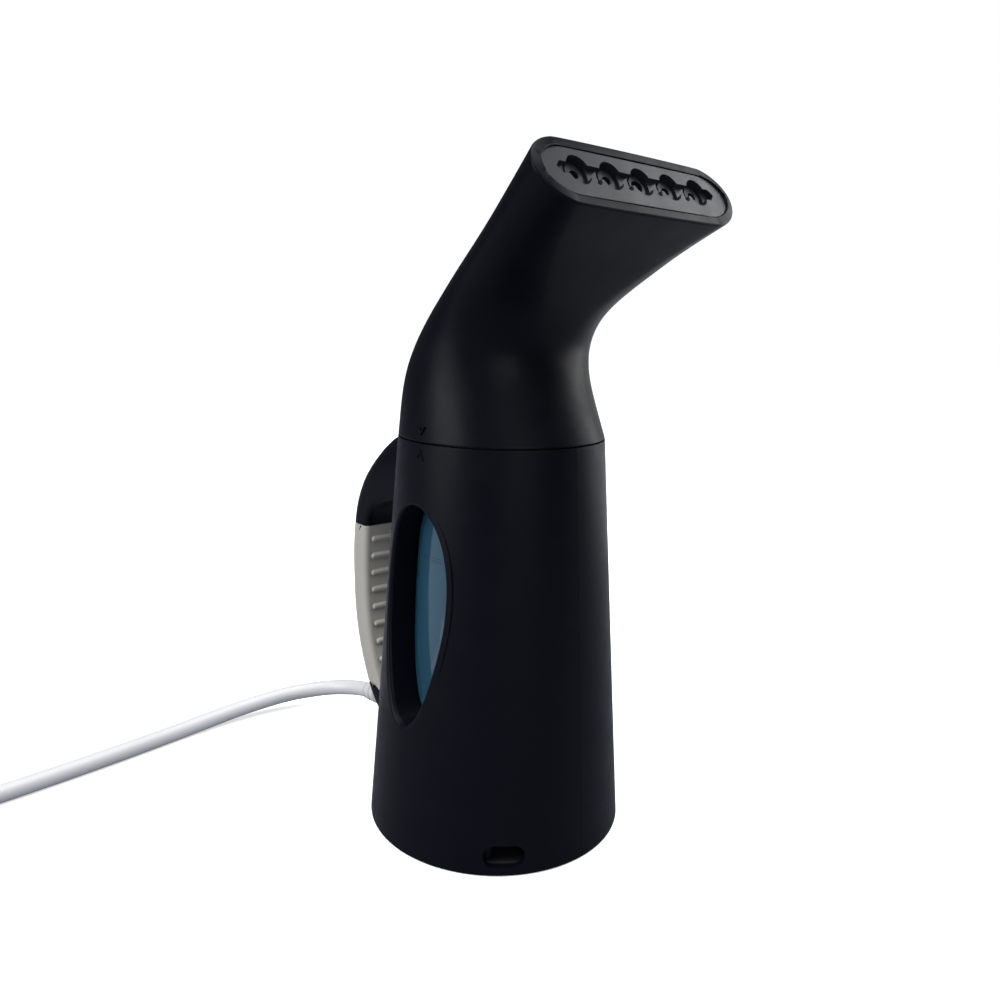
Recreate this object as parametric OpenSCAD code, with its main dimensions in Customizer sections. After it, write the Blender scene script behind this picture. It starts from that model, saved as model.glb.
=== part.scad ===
/* [Body] */
// Height of the seam between the body and the head above the table
body_h = 130; // [115:1:150]
// Radius of the body at the table
base_r = 43; // [40:0.5:48]
// Radius of the body at the seam
seam_r = 33.2; // [32:0.2:37]
// Wall thickness of the moulded casing
wall = 2.2; // [1.8:0.1:2.6]
// Gap left open at the seam under the head
seam_gap = 0.4; // [0.3:0.1:0.8]

/* [Window] */
// Height of the middle of each side window
window_z = 76.4; // [70:0.2:84]
// Height of each side window
window_h = 69.4; // [50:0.2:76]
// Width of each side window
window_w = 28.4; // [18:0.2:30]
// How much wider a window is above its middle than below it
window_egg = 0.2; // [0:0.02:0.3]
// Wall thickness of the frame round a window
window_wall = 1.8; // [1.4:0.1:2.4]

/* [Drain slot] */
// Direction of the slot low in the casing, from the front towards the left
drain_azimuth = 37; // [32:1:44]
// Length of the slot
drain_w = 13; // [9:0.5:14]
// Height of the slot
drain_h = 7; // [5:0.2:8]
// Height of the middle of the slot
drain_z = 6.5; // [6:0.1:8]

/* [Handle] */
// Width of the handle
handle_w = 25; // [22:0.5:28]
// Reach of the handle's back behind the body's axis
handle_reach = 76.7; // [74:0.1:84]
// Depth of the handle from its back to the fingers
handle_t = 14.5; // [13:0.1:16]
// Radius of the handle's two rear edges
handle_round = 8.7; // [6:0.1:9]
// Radius of the handle's two edges at the fingers
handle_inner_round = 2.2; // [1.8:0.1:3]
// Thickness of the soft grip sleeve
grip_t = 1.5; // [1.2:0.1:2]
// Height of the lower end of the grip sleeve
grip_z0 = 26; // [24:0.5:32]
// Height of the upper end of the grip sleeve
grip_z1 = 89.5; // [84:0.5:90]
// Number of ribs for the fingers
rib_count = 8; // [4:1:8]
// Height of the lowest rib
rib_z0 = 36.7; // [36:0.1:40]
// Distance from rib to rib
rib_pitch = 6.75; // [5.5:0.05:6.8]
// Thickness of a rib
rib_t = 1.8; // [1.4:0.1:2.4]
// Length of a rib
rib_l = 20; // [14:0.5:20]

/* [Head] */
// Rise of the middle of the nozzle above the seam
head_rise = 71.6; // [64:0.2:80]
// Reach of the middle of the nozzle in front of the body's axis
head_reach = 53; // [46:0.5:60]
// Tilt of the nozzle's face forwards from lying flat
nozzle_tilt = 59; // [52:1:64]
// Width of the nozzle
nozzle_w = 79.4; // [70:0.2:86]
// Thickness of the nozzle
nozzle_t = 19.7; // [18:0.1:23]
// Width of the neck of the head
neck_w = 58.4; // [54:0.2:62]
// Depth of the neck where the head bends
neck_t = 32.6; // [28:0.2:36]
// Width of the rim round the steam plate
rim = 2.8; // [2.4:0.1:3.2]

/* [Steam plate] */
// Number of steam holes
hole_count = 5; // [3:2:5]
// Distance from hole to hole
hole_pitch = 11.9; // [10:0.1:12.4]
// Radius of the round pocket over each hole
pocket_r = 4.4; // [3.6:0.1:4.8]
// Depth of the pockets and of the slot that joins them
pocket_d = 2; // [1.4:0.1:2.4]
// Radius of each steam hole
steam_r = 1.7; // [1.2:0.1:2.2]
// Radius of the middle steam hole
steam_middle_r = 2.4; // [1.8:0.1:3]
// Thickness of the steam plate
plate_t = 4; // [3.4:0.1:5]

/* [Twist lock] */
// Angle that the head turns to come off
twist = 30; // [24:1:34]
// Width of each lug as an angle
lug_angle = 24; // [16:1:26]
// Thickness of each lug
lug_t = 2; // [1.6:0.1:2.4]
// Gap between the turning pieces
play = 0.3; // [0.25:0.05:0.5]

/* [Tank and boiler] */
// Height of the underside of the tank
tank_z = 24; // [23:0.5:27]
// Wall thickness of the tank
tank_wall = 1.8; // [1.5:0.1:2.4]
// Radius of the boiler cup
boiler_r = 15; // [13:0.5:16]
// Height of the boiler cup
boiler_h = 22; // [18:0.5:26]
// Outer radius of the steam tube over the boiler
chimney_r = 6; // [5:0.1:7]

/* [Button] */
// Radius of the power button
button_r = 5; // [4.2:0.1:5.4]
// How far the button is pressed
button_travel = 1.8; // [1:0.1:2]

/* [Cord] */
// Diameter of the cord
cord_d = 6.3; // [5.6:0.1:6.6]
// Length of the tapered strain relief outside the handle
relief_l = 20; // [16:0.5:24]

/* [Hidden] */

eps = 0.02;
fit = 0.2;
far = 200;
round_fn = 64;

// Body
foot_gap = 0.5;
base_t = 3.2;
pad_r = base_r - 9;
pad_t = 1.6;
base_screw_r = base_r - 5.8;
base_screw_angles = [45, 135, 225, 315];
screw_r = 1.4;
screw_head_r = 2.5;
boss_r = 3;
boss_top = 15;
lens_r = 1.6;

// Twist lock, from the seam downwards
socket_r = seam_r - wall - fit - 0.2;
collar_r = socket_r - 3.6;
lug_r = collar_r + 1.8;
ledge_top = body_h - 2.5;
ledge_t = 3.5;
groove_top = ledge_top - ledge_t;
lug_z = groove_top - play - lug_t;
collar_z = lug_z - play;
shelf_top = collar_z - 2;
shelf_t = 2;
collar_wall = 2;
lock_count = 3;
entry_angle = lug_angle + 4;
stop_angle = 2;
stop_root = 0.5;
shelf_in = 3.4;

// Tank and what stands in it
tank_top = shelf_top - shelf_t - fit;
tank_slope = 0.048;
tank_base_r = base_r - 13;
tank_top_r = tank_base_r - tank_slope * (tank_top - tank_z);
flange_t = 2;
gasket_t = 1;
boiler_wall = 2;
boiler_z = tank_z - 8;
chimney_wall = 1.2;
chimney_top = shelf_top + 1;
duct_wall = 1.4;
duct_play = 0.5;
duct_r = chimney_r + duct_play + duct_wall;
duct_z = shelf_top - 6;
element_r = 2.8;
element_ring_r = boiler_r - 3.6;

// Head: share of the reach, share of the rise, share of the tilt, half width, half depth,
// and share of the section that is straight, from a circle at 0 to round ends at 1
neck_a = neck_w / 2;
neck_b = neck_t / 2;
nozzle_a = nozzle_w / 2;
nozzle_b = nozzle_t / 2;
head_stations = [
    [0, 0, 0, seam_r, seam_r, 0],
    [-0.03, 0.3, 0.05, neck_a + 0.9, 0.82 * seam_r, 0.05],
    [0.2, 0.58, 0.51, neck_a, neck_b, 0.35],
    [0.62, 0.81, 0.77, mix(neck_a, nozzle_a, 0.51), mix(neck_b, nozzle_b, 0.88), 0.75],
    [1, 1, 1, nozzle_a, nozzle_b, 1]
];
head_steps = 5;
nozzle_centre = [0, -head_reach, body_h + head_rise];
plate_recess = 0.2;
hole_side = (hole_count - 1) / 2;
collar_top = body_h + 4.8;
collar_upper_r = seam_r - wall - 2;
rib_gap_z = body_h + 2.2;

// Handle: outer edge and inner edge of its side view, from the upper root to the lower one
back = handle_reach;
front = handle_reach - handle_t;
handle_stations = [
    [[26, body_h - 0.6], [26, body_h - 24]],
    [[47.5, body_h - 4], [45, body_h - 28.3]],
    [[back - 13.2, body_h - 16], [front - 6.7, body_h - 32]],
    [[back - 4.7, body_h - 29], [front - 1.7, body_h - 38]],
    [[back - 0.5, 84], [front - 0.3, 82]],
    [[back, 66], [front, 66]],
    [[back - 1.5, 49.5], [front - 1.6, 50]],
    [[back - 6, 34.5], [front - 5.6, 35.5]],
    [[back - 14.7, 18], [front - 11.7, 25]],
    [[back - 28, 8.5], [front - 18.2, 24.5]],
    [[34, 6.5], [34, 25]]
];
handle_steps = 3;
handle_wall = 2;

// Button, on the slope above the grip
button_dir = 33;
button_at = [0, back - 8.6, body_h - 22.3];
button_flange_r = button_r + 1.2;
button_flange_t = 1;
button_proud = button_travel + 0.8;
button_depth = handle_wall + 1.4;
lens_at = [0, back - 3.2, body_h - 34.5];
lens_dir = 15;

// Cord: points chosen by hand from the strain relief to the coil, and from the coil to the plug
cord_r = cord_d / 2;
relief_tip = [0, 80, 12.8];
relief_tilt = 10.5;
relief_r = 5;
relief_root = relief_tip - (relief_l + 6) * [0, cos(relief_tilt), -sin(relief_tilt)];
wire_r = 1.1;
block_y = 33.2;
cord_points = [
    [0, 80, 12.8], [0, 84, 12], [-1, 90, 10.8], [-3, 95.5, 9.6], [-7, 101.5, 8.4], [-13, 106.5, 7.3],
    [-21, 110.5, 6.4], [-32, 113, 5.4], [-44, 114, 4.5], [-56, 113.8, 3.7], [-68, 112.8, 3.3],
    [-80, 111.4, 3.2], [-92, 110, 3.2], [-104, 108.8, 3.2], [-116, 107.8, 3.2], [-128, 107, 3.2],
    [-142, 106.4, 3.2], [-156, 106.1, 3.2], [-170, 106, 3.2], [-184, 106, 3.2], [-198, 106, 3.2]
];
tail_points = [
    [-242, 60, 9.5], [-242, 50, 9.5], [-242, 40, 9], [-242, 30, 8.3], [-242, 20, 8],
    [-242, 12, 8]
];
coil_at = [-198, 59.8];
coil_inner = 22.4;
coil_outer = 49.4;
coil_h = 12.8;
coil_edge = 3;
tie_angle = 250;
plug_at = [-242, 12, 8];
plug_l = 34;
plug_w = 22;
plug_h = 15;

// ---------- functions ----------

function mix(a, b, k) = a + (b - a) * k;

function clamp(v, low, high) = min(max(v, low), high);

// A point of the smooth curve through p between point k and the next, at t from 0 to 1
function curve_point(p, k, t) =
    let (
        a = p[max(k - 1, 0)],
        b = p[k],
        c = p[min(k + 1, len(p) - 1)],
        d = p[min(k + 2, len(p) - 1)]
    )
    b + (c - a) * (t / 2) + (2 * a - 5 * b + 4 * c - d) * (t * t / 2)
    + (3 * b - a - 3 * c + d) * (t * t * t / 2);

// The smooth curve through p, with n steps between one point and the next
function curve(p, n) = [
    for (k = [0:len(p) - 2])
        for (i = [0:n - 1]) curve_point(p, k, i / n),
    p[len(p) - 1]
];

// A section of the head: half width a, half depth b, straight share s, at y, z and turned by tilt
function head_ring(y, z, tilt, a, b, s, n = 36) =
    let (straight = s * (a - b), ends = a - straight)
    [
        for (i = [0:n - 1])
            let (
                turn = 360 * i / n,
                x = straight * clamp(cos(turn) / cos(78), -1, 1) + ends * cos(turn),
                v = b * sin(turn)
            )
            [x, y + v * cos(tilt), z + v * sin(tilt)]
    ];

// A section of the handle from the inner edge point q to the outer edge point p, [y, z] each,
// drawn in on all sides by inset
function handle_ring(p, q, inset) =
    let (
        depth = norm(p - q) - 2 * inset,
        v = (p - q) / norm(p - q),
        start = q + v * inset,
        half = handle_w / 2 - inset,
        outer = max(min(handle_round, depth * 0.6) - inset, 0.4),
        inner = max(handle_inner_round - inset, 0.4),
        flat = concat(
            [for (i = [0:2]) [half - inner + inner * sin(45 * i), inner - inner * cos(45 * i)]],
            [for (i = [0:5]) [half - outer + outer * cos(18 * i), depth - outer + outer * sin(18 * i)]],
            [for (i = [0:5]) [-half + outer - outer * sin(18 * i), depth - outer + outer * cos(18 * i)]],
            [for (i = [0:2]) [-half + inner - inner * cos(45 * i), inner - inner * sin(45 * i)]]
        )
    )
    [for (f = flat) [-f[0], start[0] + v[0] * f[1], start[1] + v[1] * f[1]]];

// The section of a round tube at p, square to the direction d
function tube_ring(p, d, r, n) =
    let (
        along = d / norm(d),
        side = norm(cross(along, [0, 0, 1])) > 0.2 ? cross([0, 0, 1], along) : cross([0, 1, 0], along),
        u = side / norm(side),
        w = cross(along, u)
    )
    [for (i = [0:n - 1]) p + r * (cos(360 * i / n) * u + sin(360 * i / n) * w)];

function lined(p) = [
    for (i = [0:len(p) - 1]) p[min(i + 1, len(p) - 1)] - p[max(i - 1, 0)]
];

function body_radius(z) = mix(base_r, seam_r, z / body_h);

// Outline of a side window as [y, z], grown on all sides by more
function window_outline(more) = [
    for (i = [0:35])
        let (turn = 10 * i, up = sin(turn))
        [(window_w / 2 + more) * cos(turn) * (1 + window_egg * up), (window_h / 2 + more) * up]
];

// ---------- shapes used by several pieces ----------

module loft(rings) {
    n = len(rings[0]);
    last = len(rings) - 1;
    polyhedron(
        points = [for (r = rings) for (p = r) p],
        faces = concat(
            [[for (j = [0:n - 1]) j]],
            [[for (j = [0:n - 1]) last * n + n - 1 - j]],
            [for (i = [0:last - 1]) for (j = [0:n - 1])
                [i * n + j, (i + 1) * n + j, (i + 1) * n + (j + 1) % n]],
            [for (i = [0:last - 1]) for (j = [0:n - 1])
                [i * n + j, (i + 1) * n + (j + 1) % n, i * n + (j + 1) % n]]
        ),
        convexity = 8
    );
}

module tube_along(points, r, n, steps) {
    line = curve(points, steps);
    loft([for (i = [0:len(line) - 1]) tube_ring(line[i], lined(line)[i], r, n)]);
}

module ring(r_in, r_out, z0, z1) {
    translate([0, 0, z0]) difference() {
        cylinder(h = z1 - z0, r = r_out, $fn = round_fn);
        translate([0, 0, -1]) cylinder(h = z1 - z0 + 2, r = r_in, $fn = round_fn);
    }
}

// A part of a ring between two angles
module arc(r_in, r_out, z0, z1, from, to) {
    rotate([0, 0, from]) rotate_extrude(angle = to - from, $fn = round_fn)
        translate([r_in, z0]) square([r_out - r_in, z1 - z0]);
}

// The solid of the body's outside, drawn in by inset
module body_solid(inset, z0, z1) {
    translate([0, 0, z0])
        cylinder(h = z1 - z0, r1 = body_radius(z0) - inset, r2 = body_radius(z1) - inset, $fn = round_fn);
}

module stadium(a, b, z0, z1) {
    translate([0, 0, z0]) {
        for (side = [-1, 1]) translate([side * (a - b), 0, 0]) cylinder(h = z1 - z0, r = b, $fn = round_fn);
        translate([b - a, -b, 0]) cube([2 * (a - b), 2 * b, z1 - z0]);
    }
}

module left_half() {
    intersection() {
        children();
        translate([-far, -far, -far]) cube([far, 2 * far, 3 * far]);
    }
}

module right_half() {
    intersection() {
        children();
        translate([0, -far, -far]) cube([far, 2 * far, 3 * far]);
    }
}

module from_front(azimuth, r, z) {
    rotate([0, 0, -90 - azimuth]) translate([r, 0, z]) children();
}

// ---------- casing ----------

handle_line = [
    for (k = [0:len(handle_stations) - 2])
        for (i = [0:handle_steps - 1])
            [for (e = [0, 1]) curve_point([for (s = handle_stations) s[e]], k, i / handle_steps)],
    handle_stations[len(handle_stations) - 1]
];

module handle_solid(inset) {
    loft([for (s = handle_line) handle_ring(s[0], s[1], inset)]);
}

module grip_band(more) {
    translate([-far / 2, body_radius(grip_z0) + 3, grip_z0 - more])
        cube([far, far, grip_z1 - grip_z0 + 2 * more]);
}

module window_hole(more, from) {
    translate([0, 0, window_z]) for (side = [-1, 1])
        translate([side > 0 ? from : -far / 4, 0, 0]) rotate([90, 0, 90])
            linear_extrude(far / 4 - from) polygon(window_outline(more));
}

module drain_slot() {
    from_front(drain_azimuth, body_radius(drain_z) - wall - 1, drain_z)
        rotate([0, 90, 0]) rotate([0, 0, 90])
            stadium(drain_w / 2, drain_h / 2, 0, wall + 4);
}

module on_button() {
    translate(button_at) rotate([button_dir - 90, 0, 0]) children();
}

module on_lens() {
    translate(lens_at) rotate([lens_dir - 90, 0, 0]) children();
}

module on_relief() {
    translate(relief_tip) rotate([-90 - relief_tilt, 0, 0]) children();
}

handle_screw_places = [[back - 22, body_h - 17.5], [44.5, 18.5]];

module on_handle_screws() {
    for (place = handle_screw_places)
        translate([0, place[0], place[1]]) rotate([0, 90, 0]) children();
}

module casing() {
    difference() {
        union() {
            difference() {
                body_solid(0, foot_gap, body_h);
                body_solid(wall, foot_gap - 1, body_h + 1);
                window_hole(0, tank_top_r);
            }
            intersection() {
                difference() {
                    window_hole(window_wall, tank_top_r);
                    window_hole(0, tank_top_r - 1);
                    tank_shape(0.4, -1, 1);
                }
                body_solid(0, foot_gap, body_h);
            }
            difference() {
                union() {
                    handle_solid(grip_t);
                    difference() {
                        handle_solid(0);
                        grip_band(0);
                    }
                }
                difference() {
                    handle_solid(grip_t + handle_wall);
                    body_solid(-handle_wall, body_h / 2, body_h + 1);
                    on_handle_screws() cylinder(h = far, r = boss_r, center = true, $fn = 32);
                }
                body_solid(wall, foot_gap - 1, body_h + 1);
            }
            for (a = base_screw_angles) rotate([0, 0, a]) intersection() {
                translate([base_screw_r, 0, base_t + foot_gap + 0.1])
                    cylinder(h = boss_top - base_t, r = boss_r, $fn = 32);
                body_solid(0.5, foot_gap, body_h);
            }
        }
        for (a = base_screw_angles) rotate([0, 0, a]) translate([base_screw_r, 0, base_t - 1])
            cylinder(h = boss_top - base_t - 1, r = screw_r, $fn = 24);
        on_handle_screws() {
            translate([0, 0, -6]) cylinder(h = 12, r = screw_r, $fn = 24);
            translate([0, 0, 5]) cylinder(h = far, r = screw_r + 0.2, $fn = 24);
            translate([0, 0, 8]) cylinder(h = far, r = screw_head_r + 0.3, $fn = 32);
        }
        drain_slot();
        translate([-7, body_radius(12) - wall - 1, 9]) cube([14, wall + 4, 5.2]);
        on_button() translate([0, 0, -4]) cylinder(h = 12, r = button_r + play, $fn = round_fn);
        on_button() translate([0, 0, -9])
            cylinder(h = 8.8 - handle_wall, r = button_flange_r + play, $fn = round_fn);
        on_lens() translate([0, 0, -5]) cylinder(h = 10, r = lens_r + 0.1, $fn = 32);
        on_relief() translate([0, 0, -relief_l - 8]) cylinder(h = far, r = relief_r + 0.1, $fn = 48);
    }
}

module casing_left() {
    color("#17181b") left_half() casing();
}

module casing_right() {
    color("#17181b") right_half() casing();
}

module grip() {
    color("#96948c") {
        difference() {
            intersection() {
                handle_solid(0);
                grip_band(-0.1);
            }
            handle_solid(grip_t - 0.03);
        }
        for (i = [0:rib_count - 1]) rib(rib_z0 + i * rib_pitch);
    }
}

// Height of the handle's inner edge turned into its distance behind the axis
function inner_y(z) =
    let (
        inner = [for (s = handle_line) s[1]],
        k = max([for (i = [0:len(inner) - 2]) inner[i][1] >= z ? i : 0]),
        share = (inner[k][1] - z) / (inner[k][1] - inner[k + 1][1])
    )
    mix(inner[k][0], inner[k + 1][0], share);

module rib(z) {
    half = rib_l / 2 - rib_t / 2;
    translate([0, inner_y(z) + 0.1, z]) {
        rotate([0, 90, 0]) cylinder(h = 2 * half, r = rib_t / 2, center = true, $fn = 24);
        for (side = [-1, 1]) translate([side * half, 0, 0]) sphere(r = rib_t / 2, $fn = 24);
    }
}

module base_plate() {
    color("#1b1c1f") difference() {
        body_solid(wall + fit, foot_gap, foot_gap + base_t);
        translate([0, 0, -1]) cylinder(h = 1 + pad_t, r = pad_r + 0.1, $fn = round_fn);
        for (a = base_screw_angles) rotate([0, 0, a]) translate([base_screw_r, 0, 0]) {
            cylinder(h = 10, r = screw_r + 0.2, $fn = 24);
            cylinder(h = foot_gap + 1.8, r = screw_head_r + 0.2, $fn = 32);
        }
    }
}

module foot_pad() {
    color("#2a2a2c") cylinder(h = pad_t, r = pad_r, $fn = round_fn);
}

module screw(length, head_t) {
    cylinder(h = length, r = screw_r - 0.05, $fn = 24);
    translate([0, 0, -head_t]) difference() {
        cylinder(h = head_t, r = screw_head_r, $fn = 32);
        for (turn = [0, 90]) rotate([0, 0, turn]) translate([-1.6, -0.35, -1]) cube([3.2, 0.7, 1.8]);
    }
}

module base_screws() {
    color("#b9bcc0") for (a = base_screw_angles) rotate([0, 0, a])
        translate([base_screw_r, 0, foot_gap + 1.8]) screw(9, 1.6);
}

module handle_screws() {
    color("#b9bcc0") for (place = handle_screw_places)
        translate([8, place[0], place[1]]) rotate([0, -90, 0]) screw(12.5, 1.8);
}

// ---------- tank and boiler ----------

module tank_shape(more, below, above) {
    translate([0, 0, tank_z - below]) cylinder(
        h = tank_top - tank_z + below + above,
        r1 = tank_base_r + more + tank_slope * below,
        r2 = tank_top_r + more - tank_slope * above,
        $fn = round_fn
    );
}

module tank() {
    color("#3f6478", 0.7) difference() {
        union() {
            tank_shape(0, 0, 0);
            ring(tank_top_r - 1, tank_top_r + 2, tank_top - 2, tank_top);
        }
        translate([0, 0, tank_wall]) tank_shape(-tank_wall, 0, 5);
        translate([0, 0, tank_z - 1]) cylinder(h = 10, r = boiler_r + 0.3, $fn = round_fn);
    }
}

module socket_ring() {
    shelf_z = shelf_top - shelf_t;
    step = 360 / lock_count;
    color("#25262a") {
        difference() {
            translate([0, 0, shelf_z]) cylinder(h = ledge_top - shelf_z, r = socket_r, $fn = round_fn);
            translate([0, 0, shelf_z - 1]) cylinder(h = body_h, r = collar_r - shelf_in, $fn = round_fn);
            translate([0, 0, shelf_top]) cylinder(h = body_h, r = collar_r + play, $fn = round_fn);
            translate([0, 0, shelf_top])
                cylinder(h = groove_top - shelf_top, r = lug_r + play, $fn = round_fn);
            for (i = [0:lock_count - 1])
                arc(collar_r, lug_r + 1.5 * play, shelf_top + 0.1, body_h,
                    i * step + twist - entry_angle / 2, i * step + twist + entry_angle / 2);
        }
        for (i = [0:lock_count - 1], stop = [-lug_angle / 2 - stop_angle - 1, twist + lug_angle / 2 + 1])
            arc(collar_r + 1.5 * play, lug_r + 2 * play, shelf_top - stop_root, groove_top + stop_root,
                i * step + stop, i * step + stop + stop_angle);
    }
}

module boiler_cup() {
    color("#c3c6c9") difference() {
        union() {
            translate([0, 0, boiler_z]) cylinder(h = boiler_h, r = boiler_r, $fn = round_fn);
            translate([0, 0, tank_z - gasket_t - 2 * eps - flange_t])
                cylinder(h = flange_t, r = boiler_r + 4.5, $fn = round_fn);
        }
        translate([0, 0, boiler_z + 3]) cylinder(h = boiler_h, r = boiler_r - boiler_wall, $fn = round_fn);
        for (turn = [0, 90]) translate([0, 0, tank_z + tank_wall + 4]) rotate([0, 90, turn])
            cylinder(h = 3 * boiler_r, r = 1.5, center = true, $fn = 24);
    }
}

module boiler_gasket() {
    color("#8c3b2e") ring(boiler_r + 0.5, boiler_r + 4.3, tank_z - gasket_t - eps, tank_z - eps);
}

module boiler_cover() {
    cover_z = boiler_z + boiler_h + 0.05;
    color("#26282c") {
        ring(chimney_r - chimney_wall, boiler_r, cover_z, cover_z + 2);
        ring(chimney_r - chimney_wall, chimney_r, cover_z + 2 - eps, chimney_top);
    }
}

module heating_element() {
    color("#8e9194") {
        translate([0, 0, boiler_z - element_r - 0.1]) rotate_extrude($fn = round_fn)
            translate([element_ring_r, 0]) circle(r = element_r, $fn = 32);
        for (side = [-1, 1]) translate([side * 5, element_ring_r - 1, boiler_z - element_r - 0.1])
            rotate([-90, 0, 0]) cylinder(h = 9, r = 1.6, $fn = 24);
    }
}

module thermostat() {
    color("#d8d3c4") {
        translate([0, 0, boiler_z - 6.6]) cylinder(h = 6.5, r = 6.4, $fn = 48);
        for (side = [-1, 1]) translate([side * 3 - 1.6, -0.4, boiler_z - 10.5]) cube([3.2, 0.8, 4]);
    }
}

module thermal_fuse() {
    color("#c9b037") translate([0, -20, boiler_z - 5]) rotate([0, 90, 0]) {
        cylinder(h = 12, r = 2, center = true, $fn = 32);
        cylinder(h = 24, r = 0.5, center = true, $fn = 16);
    }
}

module terminal_block() {
    color("#e6e3da") translate([-10, 25, foot_gap + base_t + 0.1]) difference() {
        cube([20, 8, 7]);
        for (x = [5, 15]) {
            translate([x, -1, 3.6]) rotate([-90, 0, 0]) cylinder(h = 10, r = 1.3, $fn = 24);
            translate([x, 4, 4]) cylinder(h = 4, r = 1.5, $fn = 24);
        }
    }
}

module supply_wires() {
    color("#7a4a2c") for (side = [-1, 1]) tube_along(
        [
            [side * 5, block_y, foot_gap + base_t + 3.7], [side * 5, 38, 9.6], [side * 4, 45, 13.9],
            [side * 2, 51, 16.4], [side * 1.5, relief_root[1] - 0.6, relief_root[2] + 0.1]
        ],
        wire_r, 8, 3
    );
}

module switch_wires() {
    color("#3a4f7a") for (side = [-1, 1]) tube_along(
        [
            [side * 7.3, 51, 18.8], [side * 7.3, 57.5, 24], [side * 6.5, back - 12.7, 36],
            [side * 6, back - 8.3, 52], [side * 6, back - 7.2, 68], [side * 5, back - 8.6, 84],
            [side * 4, back - 11.2, 93], [side * 3, back - 16.7, body_h - 29.6]
        ],
        wire_r, 8, 3
    );
}

module switch_body() {
    color("#303236") on_button() {
        translate([-4.6, -4, -button_depth - button_travel - 4.2]) cube([9.2, 8, 3.5]);
        translate([0, 0, -button_depth - button_travel - 0.8]) cylinder(h = 0.5, r = 1.6, $fn = 32);
    }
}

module power_button() {
    color("#55575b") on_button() {
        translate([0, 0, -button_depth]) cylinder(h = button_depth + button_proud, r = button_r, $fn = round_fn);
        translate([0, 0, -button_depth]) cylinder(h = button_flange_t, r = button_flange_r, $fn = round_fn);
    }
}

module indicator_lens() {
    color("#d05040") on_lens() {
        translate([0, 0, -3]) cylinder(h = 3.4, r = lens_r, $fn = 32);
    }
}

module strain_relief() {
    color("#c9c9cb") on_relief() {
        translate([0, 0, -relief_l]) cylinder(h = relief_l, r1 = relief_r, r2 = cord_r + 0.6, $fn = 48);
        translate([0, 0, -relief_l - 6]) cylinder(h = 6 + eps, r = relief_r, $fn = 48);
    }
}

// ---------- head ----------

function head_section(s, w_in, n = 36) =
    head_ring(
        -s[0] * head_reach, body_h + seam_gap + s[1] * (head_rise - seam_gap), s[2] * nozzle_tilt,
        s[3] - w_in, s[4] - w_in, s[5], n
    );

head_line = curve(head_stations, head_steps);

// The outside of the head
module head_outside() {
    loft([for (s = head_line) head_section(s, 0)]);
}

// The hollow of the head, run out past both of its ends
module head_hollow() {
    last = len(head_line) - 1;
    mouth = head_section(head_line[last], rim);
    out = 2 * [0, -sin(nozzle_tilt), cos(nozzle_tilt)];
    loft(concat(
        [[for (p = head_section(head_line[0], wall)) p - [0, 0, 2]]],
        [for (i = [0:last]) head_section(head_line[i], mix(wall, rim, pow(i / last, 4)))],
        [[for (p = mouth) p + out]]
    ));
}

module head_shell() {
    difference() {
        head_outside();
        head_hollow();
        on_nozzle() stadium(nozzle_a - rim + 0.05, nozzle_b - rim + 0.05, -plate_recess - plate_t - fit, 3);
    }
    ring(collar_upper_r - 0.9, seam_r - wall / 2 - 0.5, rib_gap_z, rib_gap_z + 1.4);
}

module head_left() {
    color("#17181b") left_half() head_shell();
}

module head_right() {
    color("#17181b") right_half() head_shell();
}

module on_nozzle() {
    translate(nozzle_centre) rotate([nozzle_tilt, 0, 0]) children();
}

module steam_plate() {
    color("#3c3e44") on_nozzle() difference() {
        stadium(nozzle_a - rim - 0.15, nozzle_b - rim - 0.15, -plate_recess - plate_t, -plate_recess);
        translate([0, 0, -plate_recess]) {
            for (i = [-hole_side:hole_side]) translate([i * hole_pitch, 0, 0]) {
                translate([0, 0, -pocket_d]) cylinder(h = pocket_d + 1, r = pocket_r, $fn = 48);
                translate([0, 0, -plate_t - 1])
                    cylinder(h = plate_t + 2, r = i == 0 ? steam_middle_r : steam_r, $fn = 32);
            }
            translate([-hole_side * hole_pitch - 6, -2, -pocket_d])
                cube([2 * hole_side * hole_pitch + 12, 4, pocket_d + 1]);
            for (side = [-1, 1]) translate([side * (hole_side * hole_pitch + 6), 0, -pocket_d])
                rotate([0, 0, 45]) translate([-1.4, -1.4, 0]) cube([2.8, 2.8, pocket_d + 1]);
        }
    }
}

duct_end = plate_recess + plate_t + 0.1;
duct_stations = [
    [0, duct_z, 0, duct_r, duct_r, 0],
    [0, body_h + 4, 0, duct_r, duct_r, 0],
    [-1, body_h + 0.28 * head_rise, 0.06 * nozzle_tilt, duct_r + 1, duct_r, 0],
    [0.17 * head_reach, body_h + 0.555 * head_rise, 0.5 * nozzle_tilt, 14, 7, 0.3],
    [0.61 * head_reach, body_h + 0.805 * head_rise, 0.76 * nozzle_tilt, 25, 6, 0.8],
    [
        head_reach - duct_end * sin(nozzle_tilt), body_h + head_rise - duct_end * cos(nozzle_tilt),
        nozzle_tilt, nozzle_a - rim - 4, nozzle_b - rim - 1, 1
    ]
];

module duct_loft(w_in, run_out) {
    line = curve(duct_stations, 3);
    last = len(line) - 1;
    function section(s) = head_ring(-s[0], s[1], s[2], s[3] - w_in, s[4] - w_in, s[5], 24);
    out = run_out * [0, -sin(nozzle_tilt), cos(nozzle_tilt)];
    loft(concat(
        [[for (p = section(line[0])) p - [0, 0, run_out]]],
        [for (i = [1:last - 1]) section(line[i])],
        [[for (p = section(line[last])) p + out]]
    ));
}

module steam_duct() {
    color("#5a5d63") difference() {
        duct_loft(0, 0);
        duct_loft(duct_wall, 1);
    }
}

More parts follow.
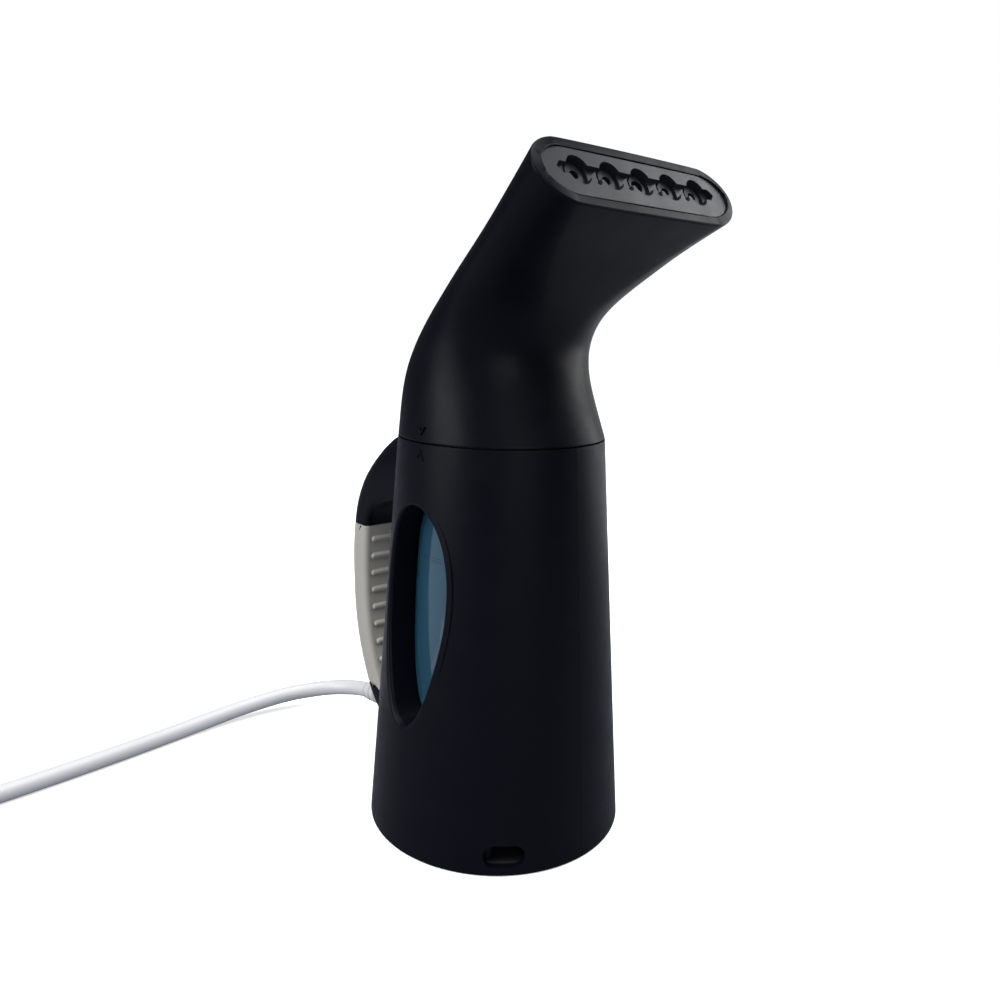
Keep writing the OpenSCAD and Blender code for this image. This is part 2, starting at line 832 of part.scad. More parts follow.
module head_collar() {
    web_z = body_h - 2;
    color("#2c2d31") {
        ring(collar_r - collar_wall, collar_r, collar_z, web_z + eps);
        ring(duct_r + 0.1, collar_r, web_z, web_z + 2);
        difference() {
            ring(collar_r - collar_wall, collar_upper_r, web_z + 2.6, collar_top);
            ring(collar_upper_r - 1.2, collar_upper_r + 1, rib_gap_z - 0.2, rib_gap_z + 1.6);
        }
        ring(collar_r - collar_wall, collar_r, web_z + 2 - eps, web_z + 2.6 + eps);
        for (i = [0:lock_count - 1]) {
            middle = i * 360 / lock_count;
            arc(collar_r - eps, lug_r, lug_z, lug_z + lug_t, middle - lug_angle / 2, middle + lug_angle / 2);
        }
    }
}

module head_seal() {
    color("#b8483a") ring(collar_r - 2.6, collar_r - 0.2, collar_z - 1.6, collar_z - eps);
}

// ---------- cord ----------

module cord_run() {
    color("#c9c9cb") tube_along(cord_points, cord_r, 10, 2);
}

module cord_coil() {
    w = coil_outer - coil_inner;
    color("#c9c9cb") translate([coil_at[0], coil_at[1], 0.05]) rotate_extrude($fn = round_fn)
        translate([coil_inner, 0]) polygon([
            [coil_edge, 0], [w - coil_edge, 0], [w, coil_edge], [w, coil_h - coil_edge],
            [w - coil_edge, coil_h], [coil_edge, coil_h], [0, coil_h - coil_edge], [0, coil_edge]
        ]);
}

module cord_tail() {
    color("#c9c9cb") tube_along(tail_points, cord_r, 10, 2);
}

module cord_tie() {
    w = coil_outer - coil_inner + 3.5;
    color("#2b2b2d") translate([coil_at[0], coil_at[1], 0]) rotate([0, 0, tie_angle])
        translate([coil_inner - 2, -4, 0.05]) difference() {
            cube([w, 8, coil_h + 1.6]);
            translate([1.4, -1, -1]) cube([w - 2.8, 10, coil_h + 1.1]);
        }
}

module plug_body() {
    color("#c9c9cb") translate(plug_at) rotate([90, 0, 0]) {
        translate([0, 0, 0]) cylinder(h = 14, r1 = cord_r + 0.6, r2 = cord_r + 2, $fn = 48);
        translate([-plug_w / 2, -plug_h / 2, 14 - eps]) intersection() {
            cube([plug_w, plug_h, plug_l - 14]);
            translate([plug_w / 2, plug_h / 2, 0])
                cylinder(h = plug_l, r = plug_w / 2 + 0.6, $fn = round_fn);
        }
    }
}

module plug_pins() {
    color("#c8a24a") translate(plug_at) rotate([90, 0, 0])
        for (side = [-1, 1]) translate([side * 6.35 - 0.75, -3.2, plug_l - 0.01]) cube([1.5, 6.4, 17]);
}

// ---------- pieces ----------

casing_left();
casing_right();
grip();
base_plate();
foot_pad();
base_screws();
handle_screws();
tank();
socket_ring();
boiler_cup();
boiler_gasket();
boiler_cover();
heating_element();
thermostat();
thermal_fuse();
terminal_block();
supply_wires();
switch_wires();
switch_body();
indicator_lens();
strain_relief();
head_left();
head_right();
steam_plate();
steam_duct();
head_collar();
head_seal();
power_button();
cord_run();
cord_coil();
cord_tail();
cord_tie();
plug_body();
plug_pins();
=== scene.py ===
# %% [markdown]
# # Handheld garment steamer
# A black steamer stands on its base: a tapered jacket round a blue water tank, a head that
# twists off for filling, a loop handle with a grey grip, and a mains lead. The working parts
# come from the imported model. The parts that are seen are modelled again here, smoother and
# with more detail, in the same places.

# %% Load the frame
import bmesh
import bpy
import math
from mathutils import Matrix, Vector


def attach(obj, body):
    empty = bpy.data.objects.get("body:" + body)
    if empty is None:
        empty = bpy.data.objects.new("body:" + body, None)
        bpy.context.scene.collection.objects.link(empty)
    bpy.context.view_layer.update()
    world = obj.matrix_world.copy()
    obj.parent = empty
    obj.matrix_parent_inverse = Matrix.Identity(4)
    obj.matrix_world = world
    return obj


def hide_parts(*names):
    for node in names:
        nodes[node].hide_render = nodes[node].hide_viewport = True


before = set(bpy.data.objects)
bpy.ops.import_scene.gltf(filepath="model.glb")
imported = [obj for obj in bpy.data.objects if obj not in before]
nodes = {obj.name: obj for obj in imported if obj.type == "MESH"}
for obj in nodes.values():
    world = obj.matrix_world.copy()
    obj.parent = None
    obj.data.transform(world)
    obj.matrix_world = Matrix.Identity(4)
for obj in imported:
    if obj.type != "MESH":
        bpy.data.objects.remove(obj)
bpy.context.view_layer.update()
MM = 0.001

# %% [markdown]
# ## Camera and studio
# The steamer is seen from its left front, from a little above the seam of the head. A 30 mm
# lens this close makes the base look a little smaller than the middle. The camera is placed
# by its position, the way it looks and the way that is right in the picture.

# %% Camera
camera_data = bpy.data.cameras.new("camera")
camera_data.lens = 30.2
camera_data.sensor_width = 36
camera_data.clip_start = 0.01
camera = bpy.data.objects.new("camera", camera_data)
bpy.context.scene.collection.objects.link(camera)
ahead = Vector((0.6515, 0.7299, -0.2068)).normalized()
right = Vector((0.7489, -0.6624, 0.0214)).normalized()
right = (right - ahead * right.dot(ahead)).normalized()
turned = Matrix((right, right.cross(ahead), -ahead)).transposed().to_4x4()
camera.matrix_world = Matrix.Translation(Vector((-179.5, -201.0, 165.6)) * MM) @ turned
bpy.context.scene.camera = camera
bpy.context.scene.view_settings.view_transform = "Standard"
print("camera", camera_data.lens, "mm, at", [round(v, 3) for v in camera.location])

# %% [markdown]
# A node tree is written with one small helper: it adds a node, sets what it is told, and
# links a socket where it is given one. Colours are written as the hex values that a paint
# program shows, and one function turns them into the linear values that Blender works in.

# %% Nodes and colours
def add(tree, kind, inputs=None, **settings):
    node = tree.nodes.new("ShaderNode" + kind)
    for name, value in settings.items():
        setattr(node, name, value)
    for socket, value in (inputs or {}).items():
        if isinstance(value, bpy.types.NodeSocket):
            tree.links.new(value, node.inputs[socket])
        else:
            node.inputs[socket].default_value = value
    return node


def linear(hex_colour):
    channels = [int(hex_colour[i:i + 2], 16) / 255 for i in (1, 3, 5)]
    return [c / 12.92 if c <= 0.04045 else ((c + 0.055) / 1.055) ** 2.4 for c in channels] + [1.0]


# %% [markdown]
# The room is a white sweep that the camera sees as plain white, with a dim light of its own,
# so that the black plastic stays black. Large soft lamps on the left, the right, in front and
# above draw the long pale edges down the sides. A wide sky lamp lights the card and whatever
# faces up, and a weak lamp low on the right, hidden from the camera, lifts the head's underside.

# %% Room and lamps
world = bpy.data.worlds.new("studio")
bpy.context.scene.world = world
world.use_nodes = True
tree = world.node_tree
tree.nodes.clear()
seen = add(tree, "LightPath")
dim = add(tree, "Background", {"Color": linear("#E9EDF6"), "Strength": 0.1})
white = add(tree, "Background", {"Color": linear("#FFFFFF"), "Strength": 1.0})
both = add(tree, "MixShader", {
    0: seen.outputs["Is Camera Ray"], 1: dim.outputs[0], 2: white.outputs[0],
})
add(tree, "OutputWorld", {"Surface": both.outputs[0]})


def lamp(name, place, target, width, height, power):
    data = bpy.data.lights.new(name, "AREA")
    data.shape, data.size, data.size_y, data.energy = "RECTANGLE", width, height, power
    made = bpy.data.objects.new(name, data)
    bpy.context.scene.collection.objects.link(made)
    made.location = place
    made.rotation_euler = (Vector(target) - Vector(place)).to_track_quat("-Z", "Y").to_euler()


# name: place, what it points at, width, height (all in metres), power in watts
LAMPS = {
    "lamp_left": ((-1.1, 0.25, 0.55), (0, 0, 0.1), 0.7, 1.0, 14),
    "lamp_right": ((1.0, -0.25, 0.5), (0, 0, 0.12), 0.5, 1.0, 7),
    "lamp_top": ((-0.1, -0.3, 1.5), (0, 0, 0.1), 1.6, 1.6, 18),
    "lamp_front": ((-0.5, -1.3, 0.5), (0, 0, 0.15), 0.8, 0.6, 5),
    "lamp_under": ((0.42, 0.12, 0.03), (0, -0.04, 0.19), 0.5, 0.4, 0.35),
}
SKY_POWER, SKY_SPREAD = 1.9, 70  # W/m2, degrees
for name, setting in LAMPS.items():
    lamp(name, *setting)
bpy.data.objects["lamp_under"].visible_camera = False
sky = bpy.data.lights.new("lamp_sky", "SUN")
sky.energy, sky.angle = SKY_POWER, math.radians(SKY_SPREAD)
bpy.context.scene.collection.objects.link(bpy.data.objects.new("lamp_sky", sky))

# %% [markdown]
# ## Modelling by hand, in code
# Each new piece starts as a primitive and is shaped in edit mode. These few helpers keep the
# steps short: `start` adds the primitive and opens it, `pick` selects by place, `move`,
# `turn` and `size` are the three transforms in millimetres and degrees, and `modify` adds a
# modifier and applies it. `done` leaves edit mode, shades the piece smooth, weights its
# normals so that flat faces beside a rounding stay flat, names its body, and counts its
# open edges.

# %% Helpers for modelling
def mm(*place):
    return Vector(place) * MM


def start(name, kind, **how):
    bpy.ops.object.select_all(action="DESELECT")
    getattr(bpy.ops.mesh, f"primitive_{kind}_add")(**how)
    piece = bpy.context.object
    piece.name = piece.data.name = name
    bpy.ops.object.transform_apply(location=True, rotation=True, scale=True)
    open_up(piece)
    return piece


def open_up(piece):
    bpy.ops.object.select_all(action="DESELECT")
    piece.select_set(True)
    bpy.context.view_layer.objects.active = piece
    bpy.ops.object.mode_set(mode="EDIT")
    bpy.ops.mesh.select_mode(type="VERT")
    bpy.ops.mesh.select_all(action="SELECT")


def shut():
    bpy.ops.object.mode_set(mode="OBJECT")


def middle(item):
    if isinstance(item, bmesh.types.BMVert):
        return item.co / MM
    return sum((v.co for v in item.verts), Vector()) / len(item.verts) / MM


ITEMS = {"VERT": "verts", "EDGE": "edges", "FACE": "faces"}


def pick(kind, test):
    """Selects the items of the open piece for which test(item, its middle in mm) is true."""
    bpy.ops.mesh.select_mode(type=kind)
    bpy.ops.mesh.select_all(action="DESELECT")
    mesh = bmesh.from_edit_mesh(bpy.context.edit_object.data)
    mesh.normal_update()
    for item in [i for i in getattr(mesh, ITEMS[kind]) if test(i, middle(i))]:
        item.select_set(True)
    bmesh.update_edit_mesh(bpy.context.edit_object.data)


def move(x, y, z):
    bpy.ops.transform.translate(value=mm(x, y, z))


def turn(degrees, axis="X", about=(0, 0, 0)):
    bpy.ops.transform.rotate(
        value=-math.radians(degrees), orient_axis=axis, center_override=mm(*about)
    )


def size(x, y, z, about=(0, 0, 0)):
    bpy.ops.transform.resize(value=(x, y, z), center_override=mm(*about))


def bevel(width, segments=3):
    bpy.ops.mesh.bevel(offset=width * MM, segments=segments, profile=0.5, affect="EDGES")


def modify(piece, kind, **settings):
    bpy.ops.object.select_all(action="DESELECT")
    piece.select_set(True)
    bpy.context.view_layer.objects.active = piece
    modifier = piece.modifiers.new(kind, kind)
    for name, value in settings.items():
        setattr(modifier, name, value)
    bpy.ops.object.modifier_apply(modifier=modifier.name)


def soften(piece, width, segments, angle):
    """Rounds every edge that is sharper than the angle."""
    modify(
        piece, "BEVEL", width=width * MM, segments=segments, limit_method="ANGLE",
        angle_limit=math.radians(angle),
    )


def carve(piece, cutter, operation="DIFFERENCE"):
    modify(piece, "BOOLEAN", operation=operation, object=cutter, solver="MANIFOLD")
    bpy.data.objects.remove(cutter)


def copy(piece, name):
    made = piece.copy()
    made.data = piece.data.copy()
    made.name = made.data.name = name
    bpy.context.scene.collection.objects.link(made)
    return made


def join(first, *others):
    bpy.ops.object.select_all(action="DESELECT")
    for piece in (first, *others):
        piece.select_set(True)
    bpy.context.view_layer.objects.active = first
    bpy.ops.object.join()
    return first


def done(piece, body, slot, *stands_for, angle=35):
    if bpy.context.mode != "OBJECT":
        shut()
    bpy.ops.object.select_all(action="DESELECT")
    piece.select_set(True)
    bpy.context.view_layer.objects.active = piece
    bpy.ops.object.shade_smooth_by_angle(angle=math.radians(angle))
    modify(piece, "WEIGHTED_NORMAL", keep_sharp=True, weight=80)
    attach(piece, body)
    if stands_for:
        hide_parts(*stands_for)
    loose = bmesh.new()
    loose.from_mesh(piece.data)
    holes = sum(1 for e in loose.edges if len(e.link_faces) != 2)
    loose.free()
    print(piece.name, len(piece.data.polygons), "faces,", holes, "open edges")


def half(piece, side, gap):
    """Keeps the left (-1) or right (1) half of a closed piece, and closes the cut."""
    open_up(piece)
    bpy.ops.mesh.bisect(
        plane_co=mm(side * gap, 0, 0), plane_no=(side, 0, 0), use_fill=True, clear_inner=True
    )
    shut()


# %% [markdown]
# ## Mains lead
# The lead is a smooth round PVC cable. It leaves the bottom of the handle through a strain
# relief, sinks to the floor, runs off to the left and is wound into a flat coil of two
# layers, with its plug beside it. It is a Bezier curve through the points of the route, with
# a round section, so it stays one even thickness, and is turned into a mesh tube at the end.
# The coil's turns come from a loop.

# %% Lead
CORD_D = 6.3
relief_tip = Vector((0, 80, 12.8))
run = [
    (0, 80, 12.8), (0, 84, 12), (-1, 90, 10.8), (-3, 95.5, 9.6), (-7, 101.5, 8.4),
    (-13, 106.5, 7.3),
    (-21, 110.5, 6.4), (-32, 113, 5.4), (-44, 114, 4.5), (-56, 113.8, 3.7), (-68, 112.8, 3.3),
    (-80, 111.4, 3.2), (-92, 110, 3.2), (-104, 108.8, 3.2), (-116, 107.8, 3.2), (-128, 107, 3.2),
    (-142, 106.4, 3.2), (-156, 106.1, 3.2), (-170, 106, 3.2), (-184, 106, 3.2),
]
tail = [(-242, 50, 9.5), (-242, 40, 9), (-242, 30, 8.3), (-242, 20, 8), (-242, 12, 8)]
COIL_X, COIL_Y = -198, 59.8
PITCH, LOW, HIGH, OUTER, INNER = 6.34, 3.2, 9.5, 46.2, 25.6  # both layers, in mm
COIL_END, COIL_STEP = 2250, 20  # degrees of winding


def coil_point(angle):
    """The lead's middle at an angle of winding: one layer inwards, up, one layer outwards."""
    row, ramp = 1170, 40
    if angle <= row:
        r, z = OUTER - PITCH * angle / 360, LOW
    elif angle <= row + ramp:
        share = (angle - row) / ramp
        r, z = INNER, LOW + (HIGH - LOW) * (3 - 2 * share) * share ** 2
    else:
        r, z = INNER + (PITCH + 0.01) * (angle - row - ramp) / 360, HIGH
    at = math.radians(90 + angle)
    return (COIL_X + r * math.cos(at), COIL_Y + r * math.sin(at), z)


route = run + [coil_point(a) for a in range(0, COIL_END + 1, COIL_STEP)] + tail
line = bpy.data.curves.new("lead", "CURVE")
line.dimensions = "3D"
line.resolution_u = 5
line.use_fill_caps = True
spline = line.splines.new("BEZIER")
spline.bezier_points.add(len(route) - 1)
for point, place in zip(spline.bezier_points, route):
    point.co = mm(*place)
    point.handle_left_type = point.handle_right_type = "AUTO"
lead = bpy.data.objects.new("lead", line)
bpy.context.scene.collection.objects.link(lead)
bpy.ops.object.select_all(action="DESELECT")
lead.select_set(True)
bpy.context.view_layer.objects.active = lead
bpy.context.view_layer.update()
middle_line = [tuple(v.co) for v in lead.to_mesh().vertices]
lead.to_mesh_clear()
line.bevel_depth = CORD_D / 2 * MM
line.bevel_resolution = 5
bpy.ops.object.convert(target="MESH")
bpy.ops.object.shade_smooth_by_angle(angle=math.radians(50))
print("lead", len(route), "points,", len(lead.data.polygons), "faces")

# %% [markdown]
# The strain relief is a soft sleeve, moulded on the lead, that tapers from the handle and is
# ringed with grooves so that it bends evenly. It starts as a short cylinder whose end face is
# extruded ring by ring, each ring in and out again, and is then laid along the lead.

# %% Strain relief
RELIEF_TILT, RELIEF_R, RELIEF_L, RELIEF_RINGS, RELIEF_TAPER = 10.5, 5.0, 20.0, 5, 0.28
RING_STEPS = ((0.5, 0), (0.08, -0.75), (0.34, 0), (0.08, 0.75))  # share of a ring, step in mm
relief = start(
    "lead_sleeve", "cylinder", vertices=40, radius=RELIEF_R * MM, depth=6 * MM,
    location=mm(0, 0, -3 - RELIEF_L),
)
pick("FACE", lambda f, m: f.normal.z > 0.9)
radius = RELIEF_R
for ring in range(RELIEF_RINGS):
    for share, groove in RING_STEPS:
        new = radius - RELIEF_TAPER * share + groove
        bpy.ops.mesh.extrude_region_move()
        move(0, 0, RELIEF_L / RELIEF_RINGS * share)
        size(new / radius, new / radius, 1)
        radius = new
bpy.ops.mesh.extrude_region_move()
size(0.9, 0.9, 1)
move(0, 0, 0.3)
bpy.ops.mesh.select_all(action="SELECT")
turn(-90 - RELIEF_TILT)
move(*relief_tip)
shut()
soften(relief, 0.25, 2, 35)
done(relief, "body", "cord_pvc", "strain_relief")

# %% [markdown]
# The plug is a block of the same PVC, narrower towards the lead, with a waist to pull it by.
# It is a cube whose end is extruded and drawn in, and all its edges are rounded. The two flat
# pins are the model's own.

# %% Plug
PLUG_AT, PLUG_BLOCK = (-242, -15, 8), (21.4, 13.4, 14.6)
# mm towards the lead, then how much narrower and lower the end gets
PLUG_STEPS = (
    (3.4, 0.8, 0.86), (4.2, 0.86, 0.95), (3.2, 0.98, 0.98), (9.2, 0.62, 0.74), (0.8, 0.95, 0.95),
)
plug = start("plug", "cube", size=1, location=mm(*PLUG_AT))
bpy.ops.transform.resize(value=mm(*PLUG_BLOCK), center_override=mm(*PLUG_AT))
pick("FACE", lambda f, m: f.normal.y > 0.9)
for forth, across, up in PLUG_STEPS:
    bpy.ops.mesh.extrude_region_move()
    move(0, forth, 0)
    size(across, 1, up, about=PLUG_AT)
shut()
soften(plug, 1.6, 4, 50)
modify(plug, "SUBSURF", levels=1, render_levels=1)
done(plug, "body", "cord_pvc", "plug_body")

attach(lead, "body")
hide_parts("cord_run", "cord_coil", "cord_tail")

# %% [markdown]
# ## Jacket
# The jacket is two thin moulded halves, left and right, that meet in a fine line down the
# front. Each has a tall egg-shaped window with a tunnel that runs in to the tank. A half is
# made flat, as from sheet: a rectangle with an egg-shaped hole, joined by rings of faces.
# Bent round, tapered, and given its wall, it has even faces all over, which a hole cut into a
# finished cone would not have.

# %% Sizes of the jacket
BASE_R, SEAM_R, BODY_H, FOOT_GAP, WALL = 43.0, 33.2, 130.0, 0.5, 2.2
WINDOW_Z, WINDOW_W, WINDOW_H = 76.4, 28.4, 69.4
EGG = 0.273  # the share by which the window is wider towards its top and narrower below
RIM_Y, RIM_LOW, RIM_TOP = 20, 38, 114  # the window's rim lies within these
TUNNEL_D, RIM_ROUND, JACKET_EDGE = 7.5, 2.6, 0.22
PARTING = 0.05  # from the parting plane to each half
RINGS, ACROSS = 11, 40  # faces from the hole to the sheet's edge, and along each side
slope = (BASE_R - SEAM_R) / BODY_H


def body_r(z):
    return BASE_R - slope * z


# %% The flat sheet, bent and tapered
def flat_sheet(name):
    """A rectangle as long as half the base's round, with the window's egg-shaped hole in it."""
    tall = BODY_H - FOOT_GAP
    sheet = start(
        name, "grid", x_subdivisions=ACROSS, y_subdivisions=ACROSS, size=1,
        rotation=(math.pi / 2, 0, 0),
    )
    bpy.ops.transform.resize(value=mm(math.pi * BASE_R - 2 * PARTING, 1, tall))
    move(0, 0, FOOT_GAP + tall / 2)
    pick("VERT", lambda v, m: not v.is_boundary)
    bpy.ops.mesh.delete(type="VERT")
    shut()
    egg = start("egg", "circle", vertices=4 * ACROSS, radius=1, rotation=(math.pi / 2, 0, 0))
    wide = BASE_R * math.asin(WINDOW_W / 2 / body_r(WINDOW_Z))
    bpy.ops.transform.resize(value=mm(wide, 1, WINDOW_H / 2))
    shut()
    modify(egg, "SIMPLE_DEFORM", deform_method="TAPER", deform_axis="Z", factor=2 * EGG)
    open_up(egg)
    move(0, 0, WINDOW_Z)
    shut()
    join(sheet, egg)
    open_up(sheet)
    bpy.ops.mesh.bridge_edge_loops(number_cuts=RINGS - 1, interpolation="LINEAR")
    shut()
    modify(sheet, "SUBSURF", subdivision_type="SIMPLE", levels=1, render_levels=1)
    return sheet


def wrap(sheet, side):
    """Bends the sheet into half a tube on one side and tapers it to the seam."""
    wide = math.pi * BASE_R - 2 * PARTING
    modify(sheet, "SIMPLE_DEFORM", deform_method="BEND", deform_axis="Z", angle=wide / BASE_R)
    open_up(sheet)
    move(0, -BASE_R, 0)
    turn(side * 90, "Z")
    shut()
    tall = BODY_H - FOOT_GAP
    modify(
        sheet, "SIMPLE_DEFORM", deform_method="TAPER", deform_axis="Z",
        factor=-slope / BASE_R * tall,
    )


# %% [markdown]
# The rim of the window is turned in along X and laid on the tank. Its rounding is broad at
# the back and the bottom, where the thumb wipes over it, and crisp at the front, so each edge
# of the rim carries its own bevel weight.

# %% Window tunnel
def tunnel(sheet, side):
    open_up(sheet)
    at_rim = lambda m: abs(m.y) < RIM_Y and RIM_LOW < m.z < RIM_TOP
    pick("EDGE", lambda e, m: e.is_boundary and at_rim(m))
    bpy.ops.mesh.extrude_edges_move()
    move(-side * TUNNEL_D, 0, 0)
    shut()
    inner = sheet.vertex_groups.new(name="inner")
    edge = bmesh.new()
    edge.from_mesh(sheet.data)
    ends = [v.index for v in edge.verts if v.is_boundary and at_rim(v.co / MM)]
    weight = edge.edges.layers.float.new("bevel_weight_edge")
    for e in edge.edges:
        m = middle(e)
        if not e.is_boundary and at_rim(m) and abs(math.hypot(m.x, m.y) - body_r(m.z)) < 0.25:
            out = math.hypot(m.x, m.y)
            if min(abs(f.normal.x * m.x + f.normal.y * m.y) / out for f in e.link_faces) < 0.8:
                high = max(0.0, min(1.0, (m.z - 92) / 22))
                back = max(0.0, min(1.0, 0.5 + m.y / 16)) * (1 - high * 0.6)
                low = max(0.0, min(1.0, (60 - m.z) / 14))
                e[weight] = 0.2 + 0.8 * max(back, low * 0.9)
    edge.to_mesh(sheet.data)
    edge.free()
    inner.add(ends, 1.0, "REPLACE")
    modify(
        sheet, "SHRINKWRAP", target=nodes["tank"], wrap_method="PROJECT", vertex_group="inner",
        use_project_x=True, use_negative_direction=True, use_positive_direction=True,
        offset=0.4 * MM,
    )
    modify(sheet, "BEVEL", width=RIM_ROUND * MM, segments=6, limit_method="WEIGHT")


# %% [markdown]
# At the front of the left half, just above the base, a rounded slot lets spilt water out.
# It is cut with a bar whose ends are half cylinders.

# %% Drain slot
DRAIN_TURN, DRAIN_W, DRAIN_H, DRAIN_Z = 37, 13, 7, 6.5


def slot_bar():
    bar = start("slot_bar", "cylinder", vertices=48, radius=DRAIN_H / 2 * MM, depth=12 * MM)
    for side in (-1, 1):
        pick("VERT", lambda v, m: m.y * side > 0.01)
        move(0, side * (DRAIN_W - DRAIN_H) / 2, 0)
    bpy.ops.mesh.select_all(action="SELECT")
    turn(90, "Y")
    move(body_r(DRAIN_Z), 0, DRAIN_Z)
    turn(-90 - DRAIN_TURN, "Z")
    shut()
    return bar


# %% The two halves
def jacket(name, side):
    sheet = flat_sheet(name)
    wrap(sheet, side)
    tunnel(sheet, side)
    open_up(sheet)
    mesh = bmesh.from_edit_mesh(sheet.data)
    mesh.normal_update()
    outer = max(mesh.faces, key=lambda f: side * f.calc_center_median().x)
    if outer.normal.x * side < 0:
        bpy.ops.mesh.flip_normals()
    shut()
    modify(sheet, "SOLIDIFY", thickness=WALL * MM, offset=-1, use_even_offset=True)
    if side < 0:
        carve(sheet, slot_bar())
    soften(sheet, JACKET_EDGE, 2, 55)
    return sheet


jackets = {-1: jacket("jacket_left", -1), 1: jacket("jacket_right", 1)}
print("jackets", [len(j.data.polygons) for j in jackets.values()])

# %% [markdown]
# ## Handle
# The loop handle is moulded with the jacket, in the same two halves. Its section is like a D:
# flat towards the hand's fingers and well rounded on the outside. One such face is extruded
# from station to station along the loop, each time turned and made deeper or thinner.

# %% Stations of the handle
HANDLE_W, ROUND, INNER_ROUND, GRIP_T, DEPTH = 25.0, 8.7, 2.2, 1.5, 14.5
GRIP_LOW, GRIP_TOP, GRIP_GAP, HANDLE_EDGE = 26.0, 89.5, 0.1, 0.18
# (y, z) on the outside and on the inside of the loop, from its top to its foot
stations = [
    ((26, 129.4), (26, 106)), ((47.5, 126), (45, 101.7)), ((63.5, 114), (55.5, 98)),
    ((72, 101), (60.5, 92)), ((76.2, 84), (61.9, 82)), ((76.7, 66), (62.2, 66)),
    ((75.2, 49.5), (60.6, 50)), ((70.7, 34.5), (56.6, 35.5)), ((62, 18), (50.5, 25)),
    ((48.7, 8.5), (44, 24.5)), ((34, 6.5), (34, 25)),
]


def smooth(points, steps):
    """A smooth line through the points, as a spring strip would take it."""
    points = [Vector(p) for p in points]
    last = len(points) - 1
    out = []
    for k in range(last):
        a, b, c, d = points[max(k - 1, 0)], points[k], points[k + 1], points[min(k + 2, last)]
        for i in range(steps):
            t = i / steps
            out.append(b + (c - a) * (t / 2) + (2 * a - 5 * b + 4 * c - d) * (t * t / 2)
                       + (3 * b - a - 3 * c + d) * (t ** 3 / 2))
    return out + [points[last]]


outer_line = smooth([s[0] for s in stations], 4)
inner_line = smooth([s[1] for s in stations], 4)


# %% A loop of D-shaped section
def d_section(name, inset):
    bar = start(name, "plane", size=1)
    bpy.ops.transform.resize(value=mm(HANDLE_W - 2 * inset, DEPTH - 2 * inset, 1))
    move(0, DEPTH / 2, 0)
    for far_side, rounding in ((True, ROUND), (False, INNER_ROUND)):
        pick("VERT", lambda v, m: (m.y > DEPTH / 2) == far_side)
        bpy.ops.mesh.bevel(
            offset=(rounding - inset) * MM, segments=10 if far_side else 4, affect="VERTICES"
        )
    pick("FACE", lambda f, m: True)
    return bar


def handle_bar(name, inset=0.0):
    bar = d_section(name, inset)
    before = (0.0, 0.0, 0.0, DEPTH)
    for k, (outer, inner) in enumerate(zip(outer_line, inner_line)):
        deep = outer - inner
        now = (inner.x, inner.y, math.degrees(math.atan2(deep.y, deep.x)), deep.length)
        if k:
            bpy.ops.mesh.extrude_region_move()
        move(0, -before[0], -before[1])
        turn(-before[2])
        thick, thin = now[3] - 2 * inset, before[3] - 2 * inset
        size(1, thick / thin, 1, about=(0, inset, 0))
        turn(now[2])
        move(0, now[0], now[1])
        before = now
    bpy.ops.mesh.select_all(action="SELECT")
    bpy.ops.mesh.normals_make_consistent(inside=False)
    shut()
    return bar


def slab(name, low, high):
    box = start(name, "cube", size=1)
    bpy.ops.transform.resize(value=mm(60, 60, high - low))
    move(0, 75, (high + low) / 2)
    shut()
    return box


# %% [markdown]
# Where the grip sits, the handle is thinner all round. The full bar loses that stretch, and a
# thinner bar is united with what is left. Bores are cut for the button and the two screws.

# %% Handle with its bores
BUTTON_AT, BUTTON_TILT, BUTTON_R = (0, 68.1, 107.7), 33, 5.0
SCREWS_AT, SCREW_R = ((54.7, 112.5), (44.5, 18.5)), 2.8


def button_bore(name, radius, low, high):
    bar = start(
        name, "cylinder", vertices=64, radius=radius * MM, depth=(high - low) * MM,
        location=mm(0, 0, (low + high) / 2),
    )
    turn(BUTTON_TILT - 90)
    move(*BUTTON_AT)
    shut()
    return bar


def screw_bore(y, z):
    bar = start(
        "screw_bore", "cylinder", vertices=40, radius=SCREW_R * MM, depth=8 * MM,
        location=mm(0, 0, 12),
    )
    turn(90, "Y")
    move(0, y, z)
    shut()
    return bar


handle = handle_bar("handle")
carve(handle, slab("slab", GRIP_LOW, GRIP_TOP))
carve(handle, handle_bar("core", GRIP_T + 0.05), "UNION")
carve(handle, button_bore("button_bore", BUTTON_R + 0.3, -5, 9))
carve(handle, button_bore("flange_bore", BUTTON_R + 1.5, -9, -2.2))
for y, z in SCREWS_AT:
    carve(handle, screw_bore(y, z))
right_handle = copy(handle, "handle_right")
handle.name = handle.data.name = "handle_left"
for side, piece in ((-1, handle), (1, right_handle)):
    half(piece, side, PARTING)
    soften(piece, HANDLE_EDGE, 2, 60)
done(jackets[-1], "body", "casing_abs", "casing_left")
done(jackets[1], "body", "casing_abs", "casing_right")
done(handle, "body", "casing_abs", "casing_left")
done(right_handle, "body", "casing_abs", "casing_right")

# %% [markdown]
# ## Grip
# The grip is a sleeve of soft rubber-like plastic, moulded over the handle. It is cut level at
# the top and rounded at the bottom, and its inner face has eight short ribs for the fingers.
# The sleeve is the full bar cut to its stretch. One rib is a ball drawn out into a bar.

